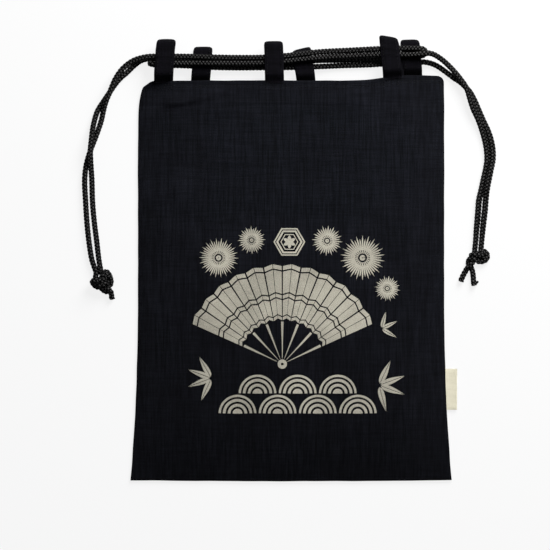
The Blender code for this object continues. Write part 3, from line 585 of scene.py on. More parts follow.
def draw_tight(strands, ends, centre):
    """Pulls the strands short while no two stretches come nearer than KNOT_APART.

    The strands' first and last few points stay where `ends` puts them.
    """
    count = len(strands[0])
    places = np.concatenate(strands)
    fixed = np.zeros(2 * count, bool)
    held = places.copy()
    for s, (start, stop) in enumerate(ends):
        for k in range(HELD_POINTS):
            fixed[[s * count + k, (s + 1) * count - 1 - k]] = True
            held[s * count + k] = start[k]
            held[(s + 1) * count - 1 - k] = stop[-1 - k]
    link = np.linalg.norm(np.diff(strands[0], axis=0), axis=1).mean()
    starts = np.concatenate([np.arange(count - 1), count + np.arange(count - 1)])
    index = np.arange(2 * count)
    same_strand = (index[:, None] < count) == (index[None, :] < count)
    gap = np.abs(index[:, None] - index[None, :])
    inner = np.array([i for i in index if i % count not in (0, count - 1)])
    middle = ~fixed & (index % count > count * 0.2) & (index % count < count * 0.8)
    for step in range(DRAW_ROUNDS):
        lowered = min(step / LOWERING_ROUNDS, 1.0)
        places[fixed] += (held[fixed] - places[fixed]) * (0.03 if step < 150 else 0.4)
        for odd in (0, 1) * 4:
            a = starts[starts % 2 == odd]
            b = a + 1
            way = places[b] - places[a]
            length = np.linalg.norm(way, axis=1)[:, None]
            pull = way * (length - link) / length * 0.5
            places[a] += pull * ~fixed[a][:, None]
            places[b] -= pull * ~fixed[b][:, None]
        bend = (places[inner - 1] + places[inner + 1]) / 2 - places[inner]
        places[inner] += bend * STIFFNESS * ~fixed[inner][:, None]
        for again in range(3):
            way = places[:, None, :] - places[None, :, :]
            length = np.linalg.norm(way, axis=2)
            apart = ~same_strand | (gap * link > 1.7 * KNOT_APART)
            near = (length < KNOT_APART) & apart & (length > 0)
            share = np.where(near, (KNOT_APART - length) / np.maximum(length, 1e-6), 0.0)
            push = (way * share[:, :, None]).sum(axis=1) / np.maximum(near.sum(axis=1), 1)[:, None]
            push[fixed] = 0.0
            places += push * 0.5
        lengths = np.linalg.norm(places[starts + 1] - places[starts], axis=1)
        if lengths.mean() < link * STRETCH and step < DRAW_ROUNDS - SETTLING_ROUNDS:
            link *= SHRINKING
        shift = np.array([*centre, 0.0]) - places[middle].mean(axis=0)
        shift[2] = 0.0
        places[~fixed] += shift * 0.05
        ground = -0.060 * (1.0 - lowered) + LAID_Z * lowered
        places[~fixed, 2] -= 0.00004
        places[~fixed, 2] = np.maximum(places[~fixed, 2], ground)
    return [places[:count], places[count:]]


def tie_knot(route, tails, centre, tilt, roll, mirror):
    """The two strands of a knot, from the route's two ends to the cut tails."""
    ends = []
    for run, tail in zip((route, route[::-1]), tails):
        way = np.array(run[0]) - np.array(run[2])
        way /= np.linalg.norm(way)
        start = [np.array(run[0]) + way * KNOT_STEP * (k + 1) for k in range(HELD_POINTS)]
        last = np.array(tail[1]) - np.array(tail[0])
        last /= np.linalg.norm(last)
        stop = [np.array(tail[1]) - last * KNOT_STEP * k for k in reversed(range(HELD_POINTS))]
        ends.append((start, stop))
    strands = draw_tight(hand_turns(KNOT_POINTS, centre, tilt, roll, mirror), ends, centre)
    return [evenly_spaced(smooth_curve(s), KNOT_STEP) for s in strands]


# Where each knot's two cut tails lie: a point before the end, and the end
LEFT_TAILS = [
    [(-0.1530, -0.0110, 0.0026), (-0.1517, -0.0160, 0.0024)],
    [(-0.1566, -0.0090, 0.0024), (-0.1558, -0.0112, 0.0024)],
]
RIGHT_TAILS = [
    [(0.1480, 0.0080, 0.0025), (0.1450, -0.0008, 0.0024)],
    [(0.1542, 0.0050, 0.0025), (0.1562, -0.0042, 0.0024)],
]


def start_tree(name, sizes, step):
    """A geometry tree whose inputs are a path, sizes and a material, and its path in even steps."""
    tree = bpy.data.node_groups.new(name, "GeometryNodeTree")
    kinds = [("Path", "Geometry"), *[(size, "Float") for size in sizes], ("Yarn", "Material")]
    for socket, kind in kinds:
        tree.interface.new_socket(socket, in_out="INPUT", socket_type="NodeSocket" + kind)
    tree.interface.new_socket("Piece", in_out="OUTPUT", socket_type="NodeSocketGeometry")
    nodes = Nodes(tree)
    start = tree.nodes.new("NodeGroupInput")
    given = {s.name: Field(nodes, s) for s in start.outputs if s.name}
    inputs = {"Curve": given["Path"], "Length": given[step]}
    return nodes, given, nodes.add("GeometryNodeResampleCurve", inputs, mode="LENGTH")


def end_tree(nodes, given, geometry):
    """Turns the geometry into one smooth mesh of the given material."""
    whole = nodes.add("GeometryNodeRealizeInstances", {0: geometry})
    inputs = {"Geometry": whole, "Material": given["Yarn"]}
    coated = nodes.add("GeometryNodeSetMaterial", inputs)
    smooth = nodes.add("GeometryNodeSetShadeSmooth", {0: coated})
    nodes.add("NodeGroupOutput", {0: smooth})
    return nodes.tree


def braid_tree():
    """Flat strands braided over and under one another round a curve, half of them each way."""
    sizes = ("Each way", "Lead", "Strand radius", "Weave depth", "Strand width")
    sizes += ("Strand thickness", "Step", "Core radius")
    nodes, given, line = start_tree("braid", sizes, "Step")

    def keep(geometry, name, kind, value):
        inputs = {"Geometry": geometry, "Name": name, "Value": value}
        return nodes.add("GeometryNodeStoreNamedAttribute", inputs, data_type=kind)

    gone = nodes.add("GeometryNodeSplineParameter", None, 1)
    kept = keep(line, "along", "FLOAT", gone)
    kept = keep(kept, "square", "FLOAT_VECTOR", nodes.add("GeometryNodeInputNormal"))
    kept = keep(kept, "ahead", "FLOAT_VECTOR", nodes.add("GeometryNodeInputTangent"))
    inputs = {"Geometry": kept, "Amount": given["Each way"] * 2.0}
    copies = nodes.add("GeometryNodeDuplicateElements", inputs, domain="SPLINE")
    number = Field(nodes, copies.socket.node.outputs["Duplicate Index"])
    kept = keep(copies, "strand", "FLOAT", number)

    def recall(name, kind="FLOAT"):
        return nodes.add("GeometryNodeInputNamedAttribute", {"Name": name}, data_type=kind)

    strand = recall("strand")
    along = recall("along")
    way_round = 1.0 - 2.0 * (strand % 2.0)
    turn = along * (2 * pi) / given["Lead"]
    angle = way_round * turn + (strand / 2.0).floor() * (2 * pi) / given["Each way"]
    wave = way_round * (given["Each way"] * turn).cos()
    # rise also paints shade into the yarn's colour where a strand dips under
    kept = keep(kept, "rise", "FLOAT", wave * (1.5 - 0.5 * wave * wave))
    reach = given["Strand radius"] + given["Weave depth"] * recall("rise")
    reach = reach * nodes.add("GeometryNodeInputRadius")
    square = recall("square", "FLOAT_VECTOR")
    level = nodes.vector("CROSS_PRODUCT", recall("ahead", "FLOAT_VECTOR"), square)

    def scaled(vector, size):
        return nodes.add("ShaderNodeVectorMath", {0: vector, "Scale": size}, operation="SCALE")

    outward = nodes.vector("ADD", scaled(square, angle.cos()), scaled(level, angle.sin()))
    inputs = {"Geometry": kept, "Offset": scaled(outward, reach)}
    moved = nodes.add("GeometryNodeSetPosition", inputs)
    inputs = {"Curve": moved, "Normal": outward}
    faced = nodes.add("GeometryNodeSetCurveNormal", inputs, mode="FREE")
    ring = nodes.add("GeometryNodeCurvePrimitiveCircle", {"Resolution": 6, "Radius": 1.0})
    scale = nodes.xyz(given["Strand thickness"] / 2.0, given["Strand width"] / 2.0, 1.0)
    section = nodes.add("GeometryNodeTransform", {"Geometry": ring, "Scale": scale})
    inputs = {"Curve": faced, "Profile Curve": section, "Fill Caps": True}
    strands = nodes.add("GeometryNodeCurveToMesh", inputs)
    inputs = {"Resolution": 8, "Radius": given["Core radius"]}
    core_ring = nodes.add("GeometryNodeCurvePrimitiveCircle", inputs)
    inputs = {"Curve": line, "Profile Curve": core_ring, "Fill Caps": True}
    core = nodes.add("GeometryNodeCurveToMesh", inputs)
    joined = nodes.tree.nodes.new("GeometryNodeJoinGeometry")
    nodes.tree.links.new(core.socket, joined.inputs[0])
    nodes.tree.links.new(strands.socket, joined.inputs[0])
    return end_tree(nodes, given, Field(nodes, joined.outputs[0]))


def grown(name, base, tree, sizes, material):
    """The plain mesh that a geometry tree makes from a base object."""
    bpy.context.scene.collection.objects.link(base)
    maker = base.modifiers.new("maker", "NODES")
    maker.node_group = tree
    values = {**sizes, "Yarn": material}
    for item in tree.interface.items_tree:
        if item.name in values:
            maker[item.identifier] = values[item.name]
    base.update_tag()
    bpy.context.view_layer.update()
    evaluated = base.evaluated_get(bpy.context.evaluated_depsgraph_get())
    mesh = bpy.data.meshes.new_from_object(evaluated)
    mesh.name = name
    base.modifiers.remove(maker)
    bpy.data.objects.remove(base)
    mesh.materials.clear()
    mesh.materials.append(material)
    piece = bpy.data.objects.new(name, mesh)
    bpy.context.scene.collection.objects.link(piece)
    return piece


# The share by which the cord lies wider where it hangs loose at the right
LOOSE_SWELL = 0.15


def looseness(place):
    """How wide the cord lies at a place, as a share of its usual width."""
    x, y, z = place
    hanging = smoothstep(0.140, 0.150, x) * smoothstep(0.030, 0.055, y) * smoothstep(0.165, 0.140, y)
    return 1.0 + LOOSE_SWELL * hanging


def line_object(name, lines):
    """Plain poly lines as one curve object."""
    curve = bpy.data.curves.new(name, "CURVE")
    curve.dimensions = "3D"
    for points in lines:
        spline = curve.splines.new("POLY")
        spline.points.add(len(points) - 1)
        for point, place in zip(spline.points, points):
            point.co = (*place, 1.0)
            point.radius = looseness(place)
    return bpy.data.objects.new(name, curve)


# Radius across and along of the lump at a cut end, and of a small one on a knot
CUT_END = (0.00225, 0.0010)
NUB = (0.0011, 0.0016)


def melted_end(shape, place, way, size, thick):
    """A small uneven lump of fused yarn at a cut end."""
    ball = bmesh.ops.create_uvsphere(shape, u_segments=14, v_segments=9, radius=1.0)
    turn = Vector((0.0, 0.0, 1.0)).rotation_difference(way)
    for vertex in ball["verts"]:
        dent = 1.0 + 0.16 * noise.noise(vertex.co * 1.7 + place * 300.0)
        flat = Vector((vertex.co.x * size, vertex.co.y * size, vertex.co.z * thick)) * dent
        vertex.co = place + turn @ flat
    for face in shape.faces:
        face.smooth = True


def make_braid(name, route, tails, nubs, centre, tilt, roll, mirror, nodes_replaced):
    dense = smooth_curve(route)
    over, under = tie_knot(dense, tails, centre, tilt, roll, mirror)
    whole = [*over[::-1], *[np.array(p) for p in dense], *under]
    path = evenly_spaced(whole, 0.0010)
    sizes = {
        "Each way": 3.0,
        "Lead": 0.0088,
        "Strand radius": 0.00172,
        "Weave depth": 0.00034,
        "Strand width": 0.00205,
        "Strand thickness": 0.00100,
        "Step": 0.00053,
        "Core radius": 0.00150,
    }
    braid = grown(name, line_object(name + "_path", [path]), BRAID, sizes, BRAID_YARN)
    shape = bmesh.new()
    shape.from_mesh(braid.data)
    for end, before in ((0, 2), (-1, -3)):
        way = (Vector(path[end]) - Vector(path[before])).normalized()
        melted_end(shape, Vector(path[end]) - way * 0.0002, way, *CUT_END)
    for place in nubs:
        melted_end(shape, Vector(place), Vector((0.7, 0.7, 0.0)).normalized(), *NUB)
    for vertex in shape.verts:
        vertex.co.z = max(vertex.co.z, 0.00005)
    shape.to_mesh(braid.data)
    shape.free()
    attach(braid, "root")
    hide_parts(*nodes_replaced)
    return path


def ripple(x, y, size, seed):
    """Smooth noise from -1 to 1 with features of about this size."""
    return noise.noise(Vector((x / size, y / size, seed)))


def edge_distance(x, y):
    """How far in from the side seams and the foot a point lies."""
    return min(half_width(y) - abs(x), y + HALF_HEIGHT)


# The fold mark's left end, its slope, its height, and its widths above and below
FOLD_START = (-0.106, 0.1484)
FOLD_SLOPE = 0.22
FOLD_HEIGHT = 0.0030
FOLD_WIDTHS = (0.0140, 0.0030)
# How far below the mouth's edge the hem's stitch line lies
STITCH_INSET = 0.0042


def creases(x, y):
    """Height that handling has given the front: soft swells, a fold mark and puckered seams."""
    inward = max(edge_distance(x, y), 0.0)
    from_mouth = max(mouth_edge(x) - y, 0.0)
    calm = smoothstep(0.0, 0.022, inward) * smoothstep(0.0, 0.030, from_mouth)
    soft = 0.00085 * ripple(x * 1.35, y * 0.55, 0.052, 1.3)
    soft += 0.00055 * ripple(x * 1.2, y * 0.8, 0.021, 7.1)
    from_start = x - FOLD_START[0]
    above_start = y - FOLD_START[1]
    along = from_start * 0.98 + above_start * 0.20
    off = above_start - from_start * FOLD_SLOPE + 0.0012 * ripple(x, 0.0, 0.012, 4.4)
    steep = FOLD_WIDTHS[0] if off > 0.0 else FOLD_WIDTHS[1]
    mark = FOLD_HEIGHT * exp(-((off / steep) ** 2)) * smoothstep(-0.006, 0.008, along)
    mark *= smoothstep(0.064, 0.042, along)
    seam = 0.00030 * exp(-inward / 0.006) * ripple(x * 0.6, y * 1.6, 0.0065, 3.7)
    seam *= smoothstep(0.0, 0.0015, inward)
    stitched = exp(-(((from_mouth - STITCH_INSET) / 0.0016) ** 2))
    pucker = 0.00022 * exp(-from_mouth / 0.010) * ripple(x * 1.9, y, 0.007, 5.9)
    hem = (-0.00055 * stitched + pucker) * smoothstep(0.0, 0.006, inward)
    turned = 0.00028 * smoothstep(HEM_DEPTH + 0.0008, HEM_DEPTH - 0.0006, from_mouth)
    return (soft + mark) * calm + seam + hem + turned * smoothstep(0.0, 0.008, inward)


def round_off(distance, radius):
    """0 at an edge and 1 a radius in from it, as a round edge rises."""
    share = 1.0 - min(distance / radius, 1.0)
    return sqrt(max(1.0 - share * share, 0.0))


def mouth_top(x):
    """The mouth's edge, with its cut left corner and its round right one."""
    top = mouth_edge(x) - MOUTH_DROP
    cut = (x + HALF_MOUTH) / CORNER_CUT_WIDTH
    if cut < 1.0:
        top -= CORNER_CUT_HEIGHT * (1.0 - max(cut, 0.0)) ** 1.15
    past = x - (HALF_MOUTH - CORNER_RADIUS)
    if past > 0.0:
        top -= CORNER_RADIUS - sqrt(max(CORNER_RADIUS**2 - past**2, 0.0))
    return top + 0.00035 * ripple(x, 0.0, 0.016, 2.2)


def side_edge(y):
    """The side seam wavers a little along its length."""
    return half_width(y) + 0.00025 + 0.00030 * ripple(0.0, y, 0.018, 9.4)


def spread(middle, edges, spacing):
    """Places from -1 to 1 across a width, closer together near both edges."""
    inner = [1.0 - e / middle for e in edges]
    count = int(2 * (middle - edges[-1]) / spacing)
    even = [inner[-1] * (2 * i / count - 1) for i in range(count + 1)]
    return [-s for s in inner[:-1]] + even + inner[:-1][::-1]


EDGE_STEPS = (0.0, 0.00012, 0.0004, 0.0008, 0.0014, 0.0024)
# The cloth's points are closer together in this strip below the mouth
FINE_STRIP = 0.024


def panel_lines():
    """Shares across the pouch and heights up it where its cloth has points."""
    spacing = 0.0023
    across = spread(HALF_MOUTH, EDGE_STEPS, spacing)
    up = [e / POUCH_HEIGHT for e in EDGE_STEPS]
    fine = FINE_STRIP / POUCH_HEIGHT
    count = int((POUCH_HEIGHT - EDGE_STEPS[-1] - FINE_STRIP) / spacing)
    up += [up[-1] + (1.0 - fine - up[-1]) * (i + 1) / count for i in range(count)]
    hem = int(FINE_STRIP / (spacing * 0.55))
    up += [1.0 - fine * (1.0 - (i + 1) / hem) for i in range(hem)]
    return across, up


# How far the cloth reaches past its seam line at the right and the foot
SIDE_OVERHANG = 0.0010
# How far the left side is drawn in at the mouth, and the height below which this fades
DRAWN_IN = 0.0037
DRAWN_IN_TOP = 0.1632


def side_reach(share, y):
    """Half the cloth's width on one side; the left side is drawn in near the mouth."""
    if share > 0.0:
        return side_edge(y) + SIDE_OVERHANG
    return side_edge(y) - DRAWN_IN * exp(-max(DRAWN_IN_TOP - y, 0.0) / 0.0105)


def sheet_point(share, up):
    """Where a share across and a share up the cloth lie, seen from above."""
    x = share * HALF_MOUTH
    bow = FOOT_BOW * (1.0 - share * share)
    foot = -HALF_HEIGHT - SIDE_OVERHANG - bow + 0.00025 * ripple(x, 1.0, 0.02, 4.4)
    y = foot + up * (mouth_top(x) - foot)
    return share * side_reach(share, y), y


def front_surface(x, y):
    """The front's outer surface, creased, before its edges are rounded off."""
    return front_height(x, y) + creases(x, y)


def folded_skin(across, up, rim_radius, turns, layers):
    """One skin for a panel: outside, round its mouth's edge, and inside.

    layers(x, y) gives the heights of the outside and of the inside.
    """
    rows = []
    for share in across:
        row = []
        inside = []
        for u in up:
            x, y = sheet_point(share, u)
            from_edge = min((1.0 - abs(share)) * side_reach(share, y), u * POUCH_HEIGHT)
            rim = round_off(from_edge, rim_radius)
            outer, inner = layers(x, y)
            row.append((x, y, SEAM_MIDDLE + (outer - SEAM_MIDDLE) * rim))
            inside.append((x, y, SEAM_MIDDLE + (inner - SEAM_MIDDLE) * rim))
        (x, y, outer), (_, _, inner) = row[-1], inside[-1]
        middle, half = (outer + inner) / 2, (outer - inner) / 2
        turn = [pi * (i + 1) / turns for i in range(turns - 1)]
        reach = abs(half) * 0.9
        edge = [(x, y + reach * sin(a), middle + half * cos(a)) for a in turn]
        rows.append(row + edge + inside[::-1])
    return seal(grid_shape(rows), 2e-6)


def front_layers(x, y):
    hem_edge = mouth_edge(x) - HEM_DEPTH
    deep = smoothstep(hem_edge, hem_edge + 0.001, y)
    thick = CLOTH_THICKNESS + deep * min(0.0010, 0.3 * MOUTH_LOFT * fullness(x, y))
    top = front_surface(x, y)
    return top, top - thick


def back_layers(x, y):
    from_mouth = max(mouth_edge(x) - y, 0.0)
    inward = smoothstep(0.0, 0.02, edge_distance(x, y))
    lift = 0.00012 * (1 + ripple(x, y, 0.03, 8.2)) * inward
    stitched = 0.00030 * exp(-(((from_mouth - STITCH_INSET) / 0.0014) ** 2))
    return lift + stitched, lift + CLOTH_THICKNESS


# How far in from their edges the two panels are rounded off
FRONT_RIM = 0.0015
BACK_RIM = 0.0013


def make_front():
    across, up = panel_lines()
    shape = folded_skin(across, up, FRONT_RIM, 6, front_layers)
    front = mesh_piece("front_cloth", shape, NAVY_CLOTH)
    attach(front, "root")
    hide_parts("front_panel")


def make_back():
    """The back panel, which lies flat on the floor under the front."""
    across, up = panel_lines()
    edge = len(EDGE_STEPS)
    across = across[:edge] + across[edge:-edge:2] + across[-edge:]
    last = [up[-1]] if (len(up) - edge) % 2 == 0 else []
    up = up[:edge] + up[edge::2] + last
    shape = folded_skin(across, up, BACK_RIM, 5, back_layers)
    back = mesh_piece("back_cloth", shape, NAVY_CLOTH)
    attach(back, "root")
    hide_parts("back_panel")


# Each loop's middle at its root, its lean, the slant of its end, and its length
FRONT_LOOPS = {
    "front_loop_left": (-0.1080, 0.0026, 0.0000, 0.0346),
    "front_loop_centre": (-0.0136, -0.0008, 0.0000, 0.0329),
    "front_loop_right": (0.0866, -0.0036, -0.0030, 0.0334),
}
BACK_LOOPS = {
    "back_loop_left": (-0.0768, 0.0026, 0.0000, 0.0287),
    "back_loop_centre": (0.0136, -0.0044, 0.0040, 0.0272),
    "back_loop_right": (0.1042, -0.0028, 0.0000, 0.0300),
}
# How far below the front's surface a front loop is rooted, and where a back loop is
FRONT_ROOT_DROP = 0.0011
BACK_ROOT_Z = 0.00135
# How far to the right the lower leg of the front right loop lies
RIGHT_LOOP_UNDER = 0.0020


def cords_through(centre_x, low, high):
    """Where along Y the cords cross a loop's middle, between two heights."""
    crossings = []
    for path in (LEFT_PATH, RIGHT_PATH):
        for a, b in zip(path, path[1:]):
            if (a[0] - centre_x) * (b[0] - centre_x) <= 0 and low < a[2] < high and a[1] > HALF_HEIGHT:
                crossings.append(float(a[1]))
    return crossings


# A strap's gap between its legs at the root, and how deep the root is tucked in
ROOT_GAP = 0.0004
ROOT_TUCK = 0.0024
# Where a strap starts to rise from its root, and where it has risen
STRAP_RISE = (0.0012, 0.0085)
# Where the rows of stitches run, as shares of half a strap's width
STITCH_SHARES = (-0.745, 0.745)


def loop_line(root_z, cord_z, length, root_y, crossings):
    """A strap's middle line as (out, height): over the cords, round its end and back under."""
    half_root = (STRAP_THICKNESS + ROOT_GAP) / 2
    radius = LEG_SPREAD
    bend = length - STRAP_THICKNESS / 2 - radius
    top, foot = cord_z + radius, cord_z - radius

    def swell(out):
        return sum(0.00055 * exp(-(((root_y + out - c) / 0.0022) ** 2)) for c in crossings)

    line = []
    steps = 26
    for i in range(steps + 1):
        out = bend * i / steps
        sag = -0.00075 * smoothstep(0.0085, bend * 0.55, out)
        climb = (top - root_z - half_root) * smoothstep(*STRAP_RISE, out)
        line.append((out, root_z + half_root + climb + sag + swell(out)))
    end_drop = line[-1][1] - top
    for i in range(1, 12):
        a = pi / 2 - pi * i / 12
        height = cord_z + radius * sin(a) + end_drop * (1 - i / 12)
        line.append((bend + radius * cos(a), height))
    for i in range(steps + 1):
        out = bend * (1 - i / steps)
        climb = (foot - root_z + half_root) * smoothstep(*STRAP_RISE, out)
        line.append((out, root_z - half_root + climb))
    return line


def make_strap(name, centre_x, lean, skew, length, root_z, cord_z, under=0.0):
    """One folded strap, with round edges, its root tucked against the mouth's edge."""
    root_y = mouth_edge(centre_x) - ROOT_TUCK
    length += ROOT_TUCK
    crossings = cords_through(centre_x + lean * 0.6, cord_z - 0.003, cord_z + 0.004)
    line = loop_line(root_z, cord_z, length, root_y, crossings)
    steps = 16
    half = LOOP_WIDTH / 2
    thick = STRAP_THICKNESS / 2
    sides = [(sin((2.0 * s / steps - 1.0) * pi / 2), 1.0) for s in range(steps + 1)]
    seams = [min(range(steps + 1), key=lambda s: abs(sides[s][0] - goal)) for goal in STITCH_SHARES]
    sides += [(across, -1.0) for across, face in sides[-2:0:-1]]
    rings = []
    stitches = [[], []]
    for k, (out, z) in enumerate(line):
        before, after = line[max(k - 1, 0)], line[min(k + 1, len(line) - 1)]
        way = Vector((after[0] - before[0], after[1] - before[1])).normalized()
        normal = Vector((-way.y, way.x))
        share = out / length
        tip = smoothstep(length - 0.0040, length, out)
        behind = under * (1.0 - share**3) if k > len(line) // 2 + 4 else 0.0
        ring = []
        for s, (across, face) in enumerate(sides):
            reach = half * (1.0 - 0.035 * tip * abs(across) ** 3)
            rounded = sqrt(max(1.0 - abs(across) ** 14, 0.0))
            x = centre_x + across * reach + behind + lean * share
            x += 0.0003 * ripple(centre_x, out, 0.009, 6.6)
            slant = share * across * skew / 2 - tip * 0.0011 * abs(across) ** 6
            step = (1.0 - share) * (mouth_edge(centre_x + across * half) - mouth_edge(centre_x))
            crown = 0.00025 * (1.0 - across * across) + 0.00012 * ripple(x, out, 0.006, 2.9)
            lift = normal * (face * thick * rounded + crown)
            y = root_y + out + slant + step + lift.x
            ring.append((x, y, max(z + lift.y, 0.0)))
            if s in seams and k < len(line) // 2 + 2:
                stitches[seams.index(s)].append(Vector((x, y, z + lift.y + 0.0001)))
        rings.append(ring)
    strap = mesh_piece(name + "_strap", capped_tube(rings), STRAP_CLOTH)
    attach(strap, "root")
    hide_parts(name)
    return stitches


def make_straps():
    rows = []
    for name, (x, lean, skew, length) in FRONT_LOOPS.items():
        root = front_height(x, mouth_edge(x)) - FRONT_ROOT_DROP
        under = RIGHT_LOOP_UNDER if name == "front_loop_right" else 0.0
        rows += make_strap(name, x, lean, skew, length, root, FRONT_Z, under)
    for name, (x, lean, skew, length) in BACK_LOOPS.items():
        rows += make_strap(name, x, lean, skew, length, BACK_ROOT_Z, BACK_Z)
    return rows


def stitch_tree():
    """Short round stitches set end to end along lines."""
    nodes, given, line = start_tree("stitches", ("Pitch", "Length", "Thickness"), "Pitch")
    ball = nodes.add("GeometryNodeMeshUVSphere", {"Segments": 6, "Rings": 4, "Radius": 0.5})
    scale = nodes.xyz(given["Thickness"], given["Thickness"], given["Length"])
    stitch = nodes.add("GeometryNodeTransform", {"Geometry": ball, "Scale": scale})
    tangent = nodes.add("GeometryNodeInputTangent")
    turn = nodes.add("FunctionNodeAlignRotationToVector", {"Vector": tangent}, axis="Z")
    inputs = {"Points": line, "Instance": stitch, "Rotation": turn}
    return end_tree(nodes, given, nodes.add("GeometryNodeInstanceOnPoints", inputs))


def make_stitches(name, lines, pitch, length, thickness):
    sizes = {"Pitch": pitch, "Length": length, "Thickness": thickness}
    piece = grown(name, line_object(name + "_lines", lines), STITCHES, sizes, THREAD_COLOUR)
    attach(piece, "root")


# How far in from the mouth's edge the hem's two rows and each loop's two bars lie
ROW_INSETS = (0.0036, 0.0050)
BAR_INSETS = (0.0022, 0.0066)
ROW_POINTS = 261
THREAD_LIFT = 0.00010


def hem_rows():
    """Two close rows round the mouth of the front, and short bars across each loop's root."""

    def on_cloth(x, y):
        return Vector((x, y, front_surface(x, y) + THREAD_LIFT))

    rows = []
    for inset in ROW_INSETS:
        row = []
        for i in range(ROW_POINTS):
            share = -0.985 + 1.970 * i / (ROW_POINTS - 1)
            y = mouth_top(share * HALF_MOUTH) - inset
            row.append(on_cloth(share * side_reach(share, y), y))
        rows.append(row)
    for middle, lean, skew, length in FRONT_LOOPS.values():
        places = [middle + LOOP_WIDTH * 0.46 * (i / 4 - 1) for i in range(9)]
        for inset in BAR_INSETS:
            rows.append([on_cloth(x, mouth_top(x) - inset) for x in places])
    return rows


def make_tag():
    """A bare ribbon folded in two, standing out of the right side seam."""
    low = TAG_CENTRE_Y - TAG_HEIGHT / 2
    left = half_width(low) - 0.0008
    across_steps, up_steps = 14, 30
    half = TAG_THICKNESS / 2
    rings = []
    for j in range(up_steps + 1):
        v = j / up_steps
        y = low + TAG_HEIGHT * v
        end = 1.0 - abs(2 * v - 1) ** 16
        right = half_width(TAG_CENTRE_Y) + TAG_SHIFT + TAG_WIDTH + 0.00025 * ripple(0.0, y, 0.012, 1.1)
        upper = []
        lower = []
        for i in range(across_steps + 1):
            u = 1.0 - (1.0 - i / across_steps) ** 1.6
            x = left + (right - left) * u
            thick = half * round_off(right - x, half) * (0.55 + 0.45 * end)
            curl = 0.0009 * u * u * (0.6 + 0.8 * v) + 0.0002 * ripple(x, y, 0.01, 5.0)
            upper.append((x, y, SEAM_MIDDLE + curl + thick))
            lower.append((x, y, SEAM_MIDDLE + curl - thick))
        rings.append(upper + lower[-2::-1])
    tag = mesh_piece("side_tape", capped_tube(rings), CREAM_TAPE)
    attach(tag, "root")
    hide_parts("side_tag")


# Heights of the ink's top and underside from the cloth's surface
INK_LAYERS = (0.00020, -0.00015)
# Printed shapes on the front, placed from the middle of the print
PRINT_CENTRE = (0.0030, -0.0332)
FAN_PIVOT = (-0.0100, -0.0380)
FAN_RADIUS = 0.0840
FAN_LEAF_DEPTH = 0.0460
FAN_PLEATS = 12
FAN_PLEAT_GAP = radians(0.9)
FAN_START = radians(24)
FAN_END = radians(156)
FAN_RIBS = 7
FAN_RIB_WIDTH = radians(3.4)
FAN_RIVET_RADIUS = 0.0040
FAN_PLEAT_FOLD = radians(0.35)
FAN_PLEAT_PEAK = 0.0009
FAN_BANDS = ((0.0, 0.0026), (0.0036, 0.0170), (0.0182, 0.0212), (0.0224, 0.0412), (0.0424, 0.0460))
WAVE_RADIUS = 0.0160
WAVE_BANDS = ((0.0, 0.26), (0.36, 0.52), (0.62, 0.78), (0.87, 1.0))
WAVES = [(x, -0.0800) for x in (-0.0480, -0.0140, 0.0200, 0.0540)]
WAVES += [(x, -0.0630) for x in (-0.0310, 0.0030, 0.0370)]
# Each pine tuft's place and radius
PINES = [
    (0.0580, 0.0520, 0.0190),
    (0.0790, 0.0260, 0.0110),
    (0.0280, 0.0665, 0.0130),
    (-0.0640, 0.0520, 0.0170),
    (-0.0360, 0.0670, 0.0120),
]
HEXAGON_CENTRE = (-0.0040, 0.0655)
HEXAGON_RADIUS = 0.0135
HEXAGON_RINGS = ((0.90, 1.0), (0.70, 0.83), (0.50, 0.56))
# Each spray's joint, its leaves' length and the directions they point in
LEAF_SPRAYS = [
    (0.0720, -0.0560, 0.0230, (65, 20, -20, -75)),
    (-0.0700, -0.0500, 0.0210, (120, 160, 200, 245)),
    (0.0740, -0.0080, 0.0150, (75, 25, -30)),
]


class Inked:
    """Gathers flat patches and lays them on the front as one thin film of ink."""

    def __init__(self):
        self.shape = bmesh.new()

    def patch(self, place, across, along):
        """A patch whose points are place(u, v) for u and v from 0 to 1."""
        grid = []
        for i in range(across + 1):
            row = []
            for j in range(along + 1):
                x, y = place(i / across, j / along)
                x, y = x + PRINT_CENTRE[0], y + PRINT_CENTRE[1]
                z = front_surface(x, y)
                row.append([self.shape.verts.new((x, y, z + lift)) for lift in INK_LAYERS])
            grid.append(row)
        for a, b in zip(grid, grid[1:]):
            for (a0, a1), (b0, b1), (c0, c1), (d0, d1) in zip(a, a[1:], b, b[1:]):
                self.shape.faces.new((a0, c0, d0, b0))
                self.shape.faces.new((a1, b1, d1, c1))
        rim = [grid[i][0] for i in range(across + 1)]
        rim += [grid[across][j] for j in range(1, along + 1)]
        rim += [grid[i][along] for i in range(across - 1, -1, -1)]
        rim += [grid[0][j] for j in range(along - 1, 0, -1)]
        for (a0, a1), (b0, b1) in zip(rim, rim[1:] + rim[:1]):
            self.shape.faces.new((a0, b0, b1, a1))

    def sector(self, centre, near, far, start, stop, across, along):
        """Part of a ring; its radii may be numbers or functions of the angle."""

        def place(u, v):
            angle = start + (stop - start) * v
            low = near(angle) if callable(near) else near
            high = far(angle) if callable(far) else far
            radius = low + (high - low) * u
            return centre[0] + radius * cos(angle), centre[1] + radius * sin(angle)

        self.patch(place, across, along)

    def disc(self, centre, near, far, along):
        """A full ring, in two halves."""
        for start in (0.0, pi):
            self.sector(centre, near, far, start, start + pi, 1, along)

    def stroke(self, start, way, length, width, swell, along):
        """A brush stroke, widest part way along and pointed at its end."""
        way = Vector(way).normalized()
        side = Vector((-way.y, way.x))

        def place(u, v):
            half = width / 2 * (sin(pi * min(0.12 + 0.88 * v, 1.0)) ** swell + 0.03)
            p = Vector(start) + way * length * v + side * half * (2 * u - 1)
            return p.x, p.y

        self.patch(place, 2, along)

    def lay(self, name, *nodes_replaced):
        piece = mesh_piece(name, seal(self.shape, 1e-7), PRINT_INK)
        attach(piece, "root")
        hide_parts(*nodes_replaced)


